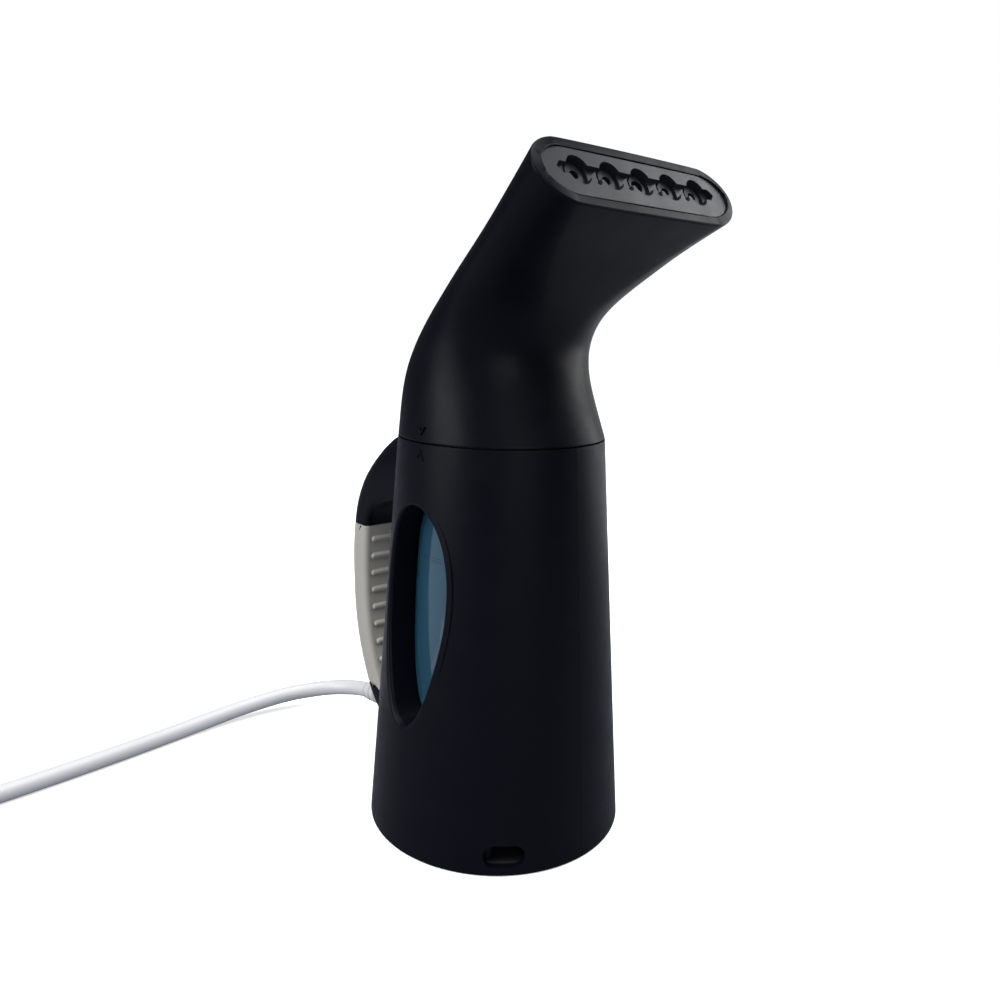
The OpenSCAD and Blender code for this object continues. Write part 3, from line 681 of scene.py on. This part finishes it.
# %% Grip sleeve
grip = handle_bar("grip_sleeve")
open_up(grip)
grip_foot, grip_head = GRIP_LOW + GRIP_GAP, GRIP_TOP - GRIP_GAP
bpy.ops.mesh.bisect(
    plane_co=mm(0, 0, grip_head), plane_no=(0, 0, 1), use_fill=True, clear_outer=True
)
bpy.ops.mesh.select_all(action="SELECT")
bpy.ops.mesh.bisect(
    plane_co=mm(0, 0, grip_foot), plane_no=(0, 0, 1), use_fill=True, clear_inner=True
)
for edge_z, width in ((grip_foot, 1.6), (grip_head, 0.5)):
    pick("EDGE", lambda e, m: all(abs(v.co.z / MM - edge_z) < 0.01 for v in e.verts))
    bevel(width, 4)
shut()

# %% Ribs
RIB_COUNT, RIB_LOW, RIB_PITCH, RIB_T, RIB_L = 8, 36.7, 6.75, 2.5, 20.0


def inner_y(z):
    """How far behind the axis the handle's inner face is at a height."""
    for a, b in zip(inner_line, inner_line[1:]):
        if a.y >= z >= b.y:
            return a.x + (b.x - a.x) * (a.y - z) / (a.y - b.y)


rib = start(
    "rib", "uv_sphere", segments=20, ring_count=14, radius=RIB_T / 2 * MM,
    rotation=(0, math.pi / 2, 0),
)
for side in (-1, 1):
    pick("VERT", lambda v, m: m.x * side > 0.01)
    move(side * (RIB_L - RIB_T) / 2, 0, 0)
shut()
ribs = []
for i in range(RIB_COUNT):
    one = copy(rib, f"rib_{i}")
    z = RIB_LOW + RIB_PITCH * i
    open_up(one)
    move(0, inner_y(z) + 0.05, z)
    shut()
    ribs.append(one)
bpy.data.objects.remove(rib)
join(grip, *ribs)
done(grip, "body", "soft_grip", "grip", angle=40)

# %% [markdown]
# ## Head
# The head is one swept form in two shells: a circle at the seam, a flatter oval at the neck
# that leans forward, and a wide slot with round ends at the nozzle. A round face is extruded
# through the stations. At each it is laid flat, its sides are moved apart as far as the
# section is straight, and it is scaled, turned and set in place.

# %% Stations of the head
REACH, RISE, TILT, SEAM_GAP, RIM = 53.0, 71.6, 59.0, 0.4, 2.8
NOZZLE_A, NOZZLE_B, NECK_A, NECK_B = 39.7, 9.85, 29.2, 16.3


def mix(a, b, share):
    return a + (b - a) * share


# shares of the reach, the rise and the tilt, half the width, half the depth, how straight
head_stations = [
    (0, 0, 0, SEAM_R, SEAM_R, 0),
    (-0.03, 0.3, 0.05, NECK_A + 0.9, 0.82 * SEAM_R, 0.05),
    (0.2, 0.58, 0.51, NECK_A, NECK_B, 0.35),
    (0.62, 0.81, 0.77, mix(NECK_A, NOZZLE_A, 0.51), mix(NECK_B, NOZZLE_B, 0.88), 0.75),
    (1, 1, 1, NOZZLE_A, NOZZLE_B, 1),
]
SIDES = 60
FLAT = 78  # degrees from an end: points within it move all the way
HEAD_GAP = 0.06  # from the parting plane to each shell
END = 1.45  # how much longer than deep the round ends of a section are
head_line = smooth(head_stations, 6)


# %% A section laid flat, spread and set in place
def spread(by, deep):
    """Moves the sides of the selected section apart, and its middle part of the way."""
    mesh = bmesh.from_edit_mesh(bpy.context.edit_object.data)
    groups, ring = {}, []
    for v in mesh.verts:
        if v.select:
            across = math.sqrt(max(0.0, 1 - (v.co.y / MM / deep) ** 2))
            across = math.copysign(across, v.co.x)
            share = max(-1.0, min(1.0, across / math.cos(math.radians(FLAT))))
            ring.append(v.index)
            groups.setdefault(round(share, 1), []).append(v.index)
    for share, members in groups.items():
        if abs(share) > 0.05 and abs(by) > 1e-6:
            choose(members)
            move(by * share, 0, 0)
    choose(ring)


def choose(members):
    bpy.ops.mesh.select_mode(type="VERT")
    bpy.ops.mesh.select_all(action="DESELECT")
    mesh = bmesh.from_edit_mesh(bpy.context.edit_object.data)
    mesh.verts.ensure_lookup_table()
    for i in members:
        mesh.verts[i].select_set(True)
    mesh.select_flush(True)
    bmesh.update_edit_mesh(bpy.context.edit_object.data)


def head_form(name):
    form = start(name, "circle", vertices=SIDES, radius=MM, fill_type="NGON")
    before = (0, 0, 0, 1, 1, 0)
    for k, s in enumerate(head_line):
        if k:
            bpy.ops.mesh.extrude_region_move()
        move(0, -before[0], -before[1])
        turn(-before[2])
        straight = before[5] * (before[3] - END * before[4])
        spread(-straight, before[4])
        new_straight = s[5] * (s[3] - END * s[4])
        size((s[3] - new_straight) / (before[3] - straight), s[4] / before[4], 1)
        spread(new_straight, s[4])
        height = BODY_H + SEAM_GAP + s[1] * (RISE - SEAM_GAP)
        now = (-s[0] * REACH, height, s[2] * TILT, s[3], s[4], s[5])
        turn(now[2])
        move(0, now[0], now[1])
        before = now
    bpy.ops.mesh.select_all(action="SELECT")
    bpy.ops.mesh.normals_make_consistent(inside=False)
    pick("FACE", lambda f, m: len(f.verts) > 6)
    bpy.ops.mesh.delete(type="ONLY_FACE")
    shut()
    return form


# %% [markdown]
# The open form gets its wall, thick enough to make the flat rim of the nozzle. The rim's
# outer edge is rounded and the seam's edge only just broken. The bottom ring is laid level, so
# that nothing reaches into the jacket when the head turns. The form is then cut into a left
# and a right shell, whose parting edges stay sharp.

# %% Head shells
head = head_form("head_shell")
modify(head, "SUBSURF", levels=2, render_levels=2)
modify(head, "SOLIDIFY", thickness=RIM * MM, offset=-1, use_even_offset=True)
nozzle = Vector((0, -REACH, BODY_H + RISE))
lean = math.radians(TILT)
nozzle_up = Vector((0, -math.sin(lean), math.cos(lean)))
seam_z = BODY_H + SEAM_GAP
open_up(head)
pick("VERT", lambda v, m: m.z < seam_z + 0.05)
size(1, 1, 0, about=(0, 0, seam_z))
at_nozzle = lambda m: (m - nozzle).dot(nozzle_up) > -0.2


def nozzle_share(m):
    """1 on the outer edge of the nozzle's rim, less inside it."""
    flat = m - nozzle
    v = flat.dot(Vector((0, math.cos(lean), math.sin(lean))))
    over = max(0.0, abs(flat.x) - (NOZZLE_A - END * NOZZLE_B))
    return math.hypot(over / END, v) / NOZZLE_B


def rim_outer(p):
    return at_nozzle(p) and nozzle_share(p) > 0.97


def rim_inner(p):
    return at_nozzle(p) and nozzle_share(p) < 0.8


def seam_outer(p):
    return p.z < seam_z + 0.05 and p.xy.length > SEAM_R - 0.2


for is_there, width, segments in ((rim_outer, 0.6, 3), (rim_inner, 0.25, 2), (seam_outer, 0.3, 2)):
    pick("EDGE", lambda e, m: all(is_there(v.co / MM) for v in e.verts))
    bevel(width, segments)
shut()
right_shell = copy(head, "head_shell_right")
head.name = head.data.name = "head_shell_left"
for side, piece in ((-1, head), (1, right_shell)):
    half(piece, side, HEAD_GAP)
done(head, "head", "casing_abs", "head_left")
done(right_shell, "head", "casing_abs", "head_right")

# %% [markdown]
# ## Window of the tank
# Behind each side window the clear tank wall carries a raised oval frame, with a shallow
# field inside it and fine level lines. Each is a slice of a thin cone shell that follows the
# tank, and an egg-shaped bar takes the slice out of it.

# %% Cone shells and egg bars
TANK_Z, TANK_R, TANK_SLOPE = 24.0, 30.0, 0.048
BAR_EGG = 0.4  # the frame's taper, likewise wider towards the top
LEVELS, LEVEL_T = (92.1, 93.1, 52.0), 0.28  # heights of the level lines, half their thickness


def tank_shell(name, inside, outside, low=36.0, high=116.0):
    """A closed shell from inside to outside the tank's surface, in mm, between two heights."""
    cones = []
    for more, over in ((outside, 0), (inside, 1)):
        ends = (low - over, high + over)
        r_low, r_high = (TANK_R - TANK_SLOPE * (z - TANK_Z) + more for z in ends)
        cones.append(start(
            name, "cone", vertices=160, radius1=r_low * MM, radius2=r_high * MM,
            depth=(high - low + 2 * over) * MM, location=mm(0, 0, (low + high) / 2),
        ))
        shut()
    carve(*cones)
    return cones[0]


def egg_bar(name, smaller, side):
    bar = start(
        name, "circle", vertices=96, radius=1, fill_type="NGON", rotation=(0, math.pi / 2, 0)
    )
    bpy.ops.transform.resize(value=mm(1, WINDOW_W / 2 - smaller, WINDOW_H / 2 - smaller))
    shut()
    modify(bar, "SIMPLE_DEFORM", deform_method="TAPER", deform_axis="Z", factor=BAR_EGG)
    open_up(bar)
    move(side * 12, 0, WINDOW_Z)
    bpy.ops.mesh.extrude_region_move()
    move(side * 25, 0, 0)
    bpy.ops.mesh.select_all(action="SELECT")
    bpy.ops.mesh.normals_make_consistent(inside=False)
    shut()
    return bar


# %% Frames and level lines
def tank_window(name, side):
    pane = tank_shell(name, -0.5, 0.35)
    carve(pane, egg_bar("egg", 0.7, side), "INTERSECT")
    field = tank_shell("field", 0.05, 1)
    carve(field, egg_bar("egg", 3.0, side), "INTERSECT")
    carve(pane, field)
    for z in LEVELS:
        level = tank_shell("level", -0.2, 0.22, z - LEVEL_T, z + LEVEL_T)
        carve(level, egg_bar("egg", 2.9, side), "INTERSECT")
        carve(pane, level, "UNION")
    return pane


for side, name in ((-1, "tank_window_left"), (1, "tank_window_right")):
    done(tank_window(name, side), "body", "tank_plastic")

# %% [markdown]
# ## Steam plate
# The plate in the nozzle is moulded in dark heat-proof plastic. Five round pockets stand in a
# row along one channel with pointed ends. Each pocket has a raised ring round its steam hole,
# and small hollows are scooped out of the channel's lower edge between the pockets.

# %% Plate
PLATE_T, PLATE_DOWN, PLATE_GAP, PLATE_EDGE = 4.0, 0.12, 0.15, 0.16
HOLES, HOLE_PITCH, POCKET_R, POCKET_D = 5, 11.9, 4.1, 2.5
CHANNEL_OVER, CHANNEL_W, CHANNEL_D = 15.4, 3.4, 1.5
SCOOP_R, SCOOP_BELOW, SCOOP_D = 1.2, 2.3, 1.9
RING_R, RING_UP = 2.9, 0.55
ROW = 0.7  # how far above the middle of the plate the row of pockets is


def pin(name, radius, low, high, x=0.0, y=0.0, vertices=40):
    made = start(
        name, "cylinder", vertices=vertices, radius=radius * MM, depth=(high - low) * MM,
        location=mm(x, y, (low + high) / 2),
    )
    shut()
    return made


PLATE_A, PLATE_B = NOZZLE_A - RIM - PLATE_GAP, NOZZLE_B - RIM - PLATE_GAP
PLATE_END = END * NOZZLE_B - RIM - PLATE_GAP
plate = pin("plate", PLATE_B, -PLATE_DOWN - PLATE_T, -PLATE_DOWN, vertices=80)
open_up(plate)
size(PLATE_END / PLATE_B, 1, 1)
for side in (-1, 1):
    pick("VERT", lambda v, m: m.x * side > 0.1)
    move(side * (PLATE_A - PLATE_END), 0, 0)
pick("EDGE", lambda e, m: m.z > -PLATE_DOWN - 0.1)
bevel(0.3, 2)
shut()
row = [(i - (HOLES - 1) / 2) * HOLE_PITCH for i in range(HOLES)]
channel = start("channel", "cube", size=1)
bpy.ops.transform.resize(value=mm(row[-1] * 2 + CHANNEL_OVER, CHANNEL_W, 2 * CHANNEL_D))
pick("EDGE", lambda e, m: abs(m.x) > row[-1] + 5 and abs(m.z) < 0.1)
bpy.ops.mesh.bevel(offset=CHANNEL_W / 2 * MM, segments=1, affect="EDGES")
bpy.ops.mesh.select_all(action="SELECT")
move(0, ROW, -PLATE_DOWN)
shut()
carve(plate, channel)
for x in row:
    carve(plate, pin("pocket", POCKET_R, -PLATE_DOWN - POCKET_D, 1, x, ROW, 48))
for x in (a + HOLE_PITCH / 2 for a in row[:-1]):
    carve(plate, pin("scoop", SCOOP_R, -PLATE_DOWN - SCOOP_D, 1, x, ROW - SCOOP_BELOW, 32))
soften(plate, PLATE_EDGE, 2, 50)
pocket_floor = -PLATE_DOWN - POCKET_D
for x in row:
    ring = pin("ring", RING_R, pocket_floor - 0.3, pocket_floor + RING_UP, x, ROW)
    carve(plate, ring, "UNION")
for x in row:
    hole = pin("hole", 1.0, -PLATE_DOWN - PLATE_T - 1, 0, x, ROW)
    open_up(hole)
    wide = 2.1 if x == 0 else 1.5
    size(wide, wide * 0.8, 1, about=(x, ROW, 0))
    shut()
    carve(plate, hole)
open_up(plate)
turn(TILT)
move(*nozzle)
done(plate, "head", "plate_plastic", "steam_plate", angle=30)

# %% [markdown]
# ## Lock marks
# Two small outlined triangles, one on the head and one on the jacket, point at each other
# when the head is locked. Each is a three-sided ring of plastic, a little proud of the wall.

# %% Marks
MARK_LINE, MARK_T, MARK_SUNK, MARK_ASIDE = 0.5, 0.6, 0.33, 2  # mm, mm, mm, degrees


def mark(name, body, z, tall, points_up, lean_out):
    radius = tall / 1.5  # from the middle of an even triangle to its points
    made = start(
        name, "circle", vertices=3, radius=radius * MM, fill_type="NGON",
        rotation=(0, math.pi / 2, 0),
    )
    pick("FACE", lambda f, m: True)
    bpy.ops.mesh.inset(thickness=MARK_LINE * MM)
    bpy.ops.mesh.delete(type="FACE")
    bpy.ops.mesh.select_all(action="SELECT")
    turn(90, "X")
    highest = max(v.co.z for v in bmesh.from_edit_mesh(made.data).verts) / MM
    if (abs(highest - radius) < 0.01) != points_up:
        turn(180, "X")
    bpy.ops.mesh.extrude_region_move()
    move(-MARK_T, 0, 0)
    bpy.ops.mesh.select_all(action="SELECT")
    bpy.ops.mesh.normals_make_consistent(inside=False)
    turn(lean_out, "Y")
    move(-body_r(z) + MARK_SUNK, 0, z)
    turn(MARK_ASIDE, "Z")
    done(made, body, "casing_abs")


mark("lock_mark_body", "body", 126.2, 3.2, True, 4)
mark("lock_mark_head", "head", 134.2, 2.6, False, 6)

# %% [markdown]
# ## Small parts
# The power button is a round cap with a dished top. The four posts that the base screws go
# into stand inside the jacket, and one shows through the drain slot.

# %% Power button
BUTTON_T, FLANGE = 5.6, 1.24  # the flange is this much wider than the cap
# mm inwards and mm up, from the rim to the middle of the dish
DISH = ((0.45, 0.4), (0.8, 0.0), (0.35, -0.35), (1.2, -0.15), (1.2, -0.08))
button = start(
    "button_cap", "cylinder", vertices=64, radius=BUTTON_R * MM, depth=BUTTON_T * MM,
    location=mm(0, 0, -0.6),
)
pick("FACE", lambda f, m: f.normal.z > 0.9)
for inwards, up in DISH:
    bpy.ops.mesh.inset(thickness=inwards * MM)
    move(0, 0, up)
pick("FACE", lambda f, m: f.normal.z < -0.9)
bpy.ops.mesh.extrude_region_move()
size(FLANGE, FLANGE, 1)
pick("FACE", lambda f, m: f.normal.z < -0.9 and m.xy.length < 1)
bpy.ops.mesh.extrude_region_move()
move(0, 0, 0.001)
bpy.ops.mesh.select_all(action="SELECT")
turn(BUTTON_TILT - 90)
move(*BUTTON_AT)
done(button, "button", "button_plastic", "power_button", angle=40)

# %% Screw posts
POST_R, POST_L, POST_Z, POSTS_OUT = 3.0, 10.8, 9.4, 37.2
post = start(
    "post", "cylinder", vertices=32, radius=POST_R * MM, depth=POST_L * MM,
    location=mm(0, 0, POST_Z),
)
pick("FACE", lambda f, m: f.normal.z < -0.9)
bpy.ops.mesh.inset(thickness=1.5 * MM)
bpy.ops.mesh.extrude_region_move()
move(0, 0, 8)
pick("FACE", lambda f, m: f.normal.z > 0.9)
size(0.8, 0.8, 1)
shut()
posts = []
for i in range(4):
    one = copy(post, f"post_{i}")
    open_up(one)
    move(POSTS_OUT, 0, 0)
    turn(45 + 90 * i, "Z")
    shut()
    posts.append(one)
bpy.data.objects.remove(post)
posts = join(*posts)
posts.name = posts.data.name = "screw_posts"
done(posts, "body", "casing_abs")

# %% [markdown]
# ## Materials
# Every plastic here is injection moulded, so what the eye reads is the surface of the mould:
# a fine even grain, a slow change of gloss where the melt flowed, and the gloss itself. One
# function makes such a plastic from its colour, its roughness, and the grain's real size.

# %% Moulded plastic
def moulded(name, colour, rough, grain, depth, cloud=0.05, shade=0.12, **shader):
    """grain and depth are the width and height of the mould's grain in mm. cloud is how far
    the gloss, and shade how far the colour, wanders over some 9 mm."""
    material = bpy.data.materials.new(name)
    material.use_nodes = True
    tree = material.node_tree
    tree.nodes.clear()
    place = add(tree, "TexCoord").outputs["Object"]
    fine = add(tree, "TexNoise", {
        "Vector": place, "Scale": 1000 / grain, "Detail": 2.0, "Roughness": 0.55,
    })
    slow = add(tree, "TexNoise", {
        "Vector": place, "Scale": 110.0, "Detail": 3.0, "Roughness": 0.6,
    })
    gloss = add(tree, "MapRange", {
        "Value": slow.outputs["Fac"], "From Min": 0.3, "From Max": 0.7,
        "To Min": rough - cloud, "To Max": rough + cloud,
    })
    dark = [c * (1 - shade) for c in linear(colour)[:3]] + [1.0]
    light = [min(1.0, c * (1 + shade)) for c in linear(colour)[:3]] + [1.0]
    tone = add(tree, "MixRGB", {"Fac": slow.outputs["Fac"], "Color1": dark, "Color2": light})
    grainy = add(tree, "Bump", {
        "Height": fine.outputs["Fac"], "Strength": 1.0, "Distance": depth * MM,
    })
    surface = add(tree, "BsdfPrincipled", {
        "Base Color": tone.outputs["Color"], "Roughness": gloss.outputs["Result"],
        "Normal": grainy.outputs["Normal"], **shader,
    })
    add(tree, "OutputMaterial", {"Surface": surface.outputs[0]})
    return material


# ABS from a spark-eroded mould: satin black with a cold cast. Its grain is drawn twice as
# coarse as real so that it shows, and its specular level is set well below the usual 0.5, so
# that the white studio doesn't grey its deep black.
black_abs = moulded(
    "black_abs_moulded", "#06080F", 0.38, 0.45, 0.012, **{"Specular IOR Level": 0.07}
)
# the same plastic, plainer, for the base
base_abs = moulded("base_abs_moulded", "#101114", 0.5, 0.5, 0.02)
# TPE overmoulding: warm grey, soft and nearly matt, with a faint bloom at the edges
soft_tpe = moulded(
    "grey_tpe_overmoulded", "#96948D", 0.62, 0.35, 0.015, shade=0.04,
    **{"Sheen Weight": 0.15, "Sheen Roughness": 0.5},
)
# heat-proof PBT of the steam plate: dark grey with a dry gloss
plate_pbt = moulded(
    "grey_pbt_moulded", "#1D1F24", 0.42, 0.4, 0.01, **{"Specular IOR Level": 0.25}
)
# nylon of the lock, collar and switch
inner_nylon = moulded("dark_nylon_moulded", "#222428", 0.5, 0.4, 0.012)
# polypropylene steam duct
duct_pp = moulded("grey_pp_moulded", "#5A5D63", 0.45, 0.5, 0.01)
# soft PVC of the lead: pale grey, smooth, faintly oily
cord_pvc = moulded("pale_pvc_extruded", "#BCBCBF", 0.36, 0.9, 0.006, cloud=0.04, shade=0.03)
# rubber of the standing pad: matt, coarse
pad_rubber = moulded("black_rubber_pressed", "#17171A", 0.8, 0.8, 0.05, shade=0.2)
# silicone of the gasket and the seal: red, waxy
silicone = moulded(
    "red_silicone_pressed", "#9C4033", 0.55, 0.7, 0.01,
    **{"Subsurface Weight": 0.15, "Subsurface Radius": (0.002, 0.001, 0.0006)},
)
# glazed steatite of the thermostat
steatite = moulded("white_steatite_glazed", "#D8D3C4", 0.3, 0.8, 0.01, shade=0.05)
# polyamide of the terminal block
terminal_pa = moulded("ivory_polyamide_moulded", "#D9D6C8", 0.45, 0.6, 0.01, shade=0.05)
# insulation of the wires
wire_brown = moulded("brown_pvc_extruded", "#6B3F26", 0.4, 0.7, 0.005, shade=0.06)
wire_blue = moulded("blue_pvc_extruded", "#2F4E8C", 0.4, 0.7, 0.005, shade=0.06)
# hook-and-loop strap of the tie: matt and fuzzy
strap = moulded(
    "black_nylon_woven", "#1E1E21", 0.85, 0.5, 0.08, shade=0.25, **{"Sheen Weight": 0.4}
)
# button: the jacket's plastic, lighter
button_abs = moulded("grey_abs_moulded", "#4C4F55", 0.4, 0.45, 0.012)
print("plastics", len(bpy.data.materials))

# %% [markdown]
# Clear plastics let light in. The tank is tinted blue and a little milky, so it is a mix of
# clear and coloured, and polished. The lamp's lens is red and clear.

# %% Clear plastics
tank_blue = moulded(
    "blue_san_polished", "#2C5266", 0.12, 3.0, 0.01, cloud=0.03, shade=0.1,
    **{"Transmission Weight": 0.35, "IOR": 1.57, "Coat Weight": 0.3, "Coat Roughness": 0.05},
)
lens_red = moulded(
    "red_acrylic_polished", "#B5281E", 0.1, 2.0, 0.004, **{"Transmission Weight": 0.5, "IOR": 1.49}
)

# %% [markdown]
# Metals are all reflection: their colour is the reflection's tint. Fine lines from drawing or
# turning stretch their highlights, made here with a noise squeezed along one axis.

# %% Metals
def metal(name, colour, rough, line, depth):
    """line and depth are the width and height of the drawn lines in mm."""
    material = bpy.data.materials.new(name)
    material.use_nodes = True
    tree = material.node_tree
    tree.nodes.clear()
    place = add(tree, "TexCoord").outputs["Object"]
    drawn = add(tree, "Mapping", {"Vector": place, "Scale": (1.0, 0.06, 1.0)})
    lines = add(tree, "TexNoise", {
        "Vector": drawn.outputs["Vector"], "Scale": 1000 / line, "Detail": 3.0,
    })
    spots = add(tree, "TexNoise", {"Vector": place, "Scale": 300.0, "Detail": 2.0})
    gloss = add(tree, "MapRange", {
        "Value": spots.outputs["Fac"], "To Min": rough * 0.75, "To Max": rough * 1.35,
    })
    bump = add(tree, "Bump", {
        "Height": lines.outputs["Fac"], "Strength": 1.0, "Distance": depth * MM,
    })
    surface = add(tree, "BsdfPrincipled", {
        "Base Color": linear(colour), "Metallic": 1.0, "Roughness": gloss.outputs["Result"],
        "Normal": bump.outputs["Normal"],
    })
    add(tree, "OutputMaterial", {"Surface": surface.outputs[0]})
    return material


# zinc on the screws: bright, slightly blue
screw_steel = metal("zinc_plated_steel", "#B9BBBE", 0.28, 0.4, 0.004)
# aluminium of the boiler as it leaves the die: pale, dull, uneven
cast_aluminium = metal("die_cast_aluminium", "#C3C6C9", 0.42, 1.2, 0.02)
# drawn tube round the heating wire: darker, with lines along it
sheath_steel = metal("drawn_sheath_steel", "#8E9194", 0.35, 0.5, 0.006)
# brass of the plug's pins: yellow, the sharpest highlights
brass = metal("milled_brass", "#C8A24A", 0.25, 0.4, 0.004)
# tinned can of the fuse: warm, with a soft gloss
tin = metal("tinned_fuse_can", "#C9B98A", 0.3, 0.5, 0.004)

# %% [markdown]
# Last, every piece and every node of the model gets its material by name.

# %% Dressing
worn = {
    black_abs: [
        "jacket_left", "jacket_right", "handle_left", "handle_right", "head_shell_left",
        "head_shell_right", "lock_mark_body", "lock_mark_head", "screw_posts", "casing_left",
        "casing_right", "head_left", "head_right",
    ],
    base_abs: ["base_plate"],
    soft_tpe: ["grip_sleeve", "grip"],
    plate_pbt: ["plate", "steam_plate"],
    inner_nylon: ["socket_ring", "boiler_cover", "switch_body", "head_collar"],
    duct_pp: ["steam_duct"],
    cord_pvc: [
        "lead", "lead_sleeve", "plug", "strain_relief", "cord_run", "cord_coil", "cord_tail",
        "plug_body",
    ],
    pad_rubber: ["foot_pad"],
    silicone: ["boiler_gasket", "head_seal"],
    steatite: ["thermostat"],
    terminal_pa: ["terminal_block"],
    wire_brown: ["supply_wires"],
    wire_blue: ["switch_wires"],
    strap: ["cord_tie"],
    button_abs: ["button_cap", "power_button"],
    tank_blue: ["tank", "tank_window_left", "tank_window_right"],
    lens_red: ["indicator_lens"],
    screw_steel: ["base_screws", "handle_screws"],
    cast_aluminium: ["boiler_cup"],
    sheath_steel: ["heating_element"],
    brass: ["plug_pins"],
    tin: ["thermal_fuse"],
}
for material, names in worn.items():
    for name in names:
        data = bpy.data.objects[name].data
        data.materials.clear()
        data.materials.append(material)
undressed = [n for n in nodes if not any(n in names for names in worn.values())]
print("dressed", sum(len(names) for names in worn.values()), "pieces, without a material:", undressed)

# %% [markdown]
# ## Floor
# The steamer stands on a wide white sheet of card. A black object would mirror it and turn
# grey, so a photographer keeps the card small or flags it off. Here the camera sees the card
# as white, and the plastic sees it as a dim grey, which does the same.

# %% Floor
card = moulded("white_card_matt", "#F2F2F2", 0.9, 1.5, 0.01, shade=0.01)
tree = card.node_tree
seen = add(tree, "LightPath")
dim = add(tree, "BsdfDiffuse", {"Color": linear("#858A94")})
even = add(tree, "Emission", {"Color": linear("#FFFFFF"), "Strength": 0.5})
lit = next(n for n in tree.nodes if n.type == "BSDF_PRINCIPLED")
bright = add(tree, "AddShader", {0: lit.outputs[0], 1: even.outputs[0]})
both = add(tree, "MixShader", {
    0: seen.outputs["Is Camera Ray"], 1: dim.outputs[0], 2: bright.outputs[0],
})
add(tree, "OutputMaterial", {"Surface": both.outputs[0]}, is_active_output=True)
floor = start("floor", "grid", x_subdivisions=8, y_subdivisions=8, size=8)
shut()
floor.data.materials.append(card)

# %% End
bpy.context.view_layer.update()
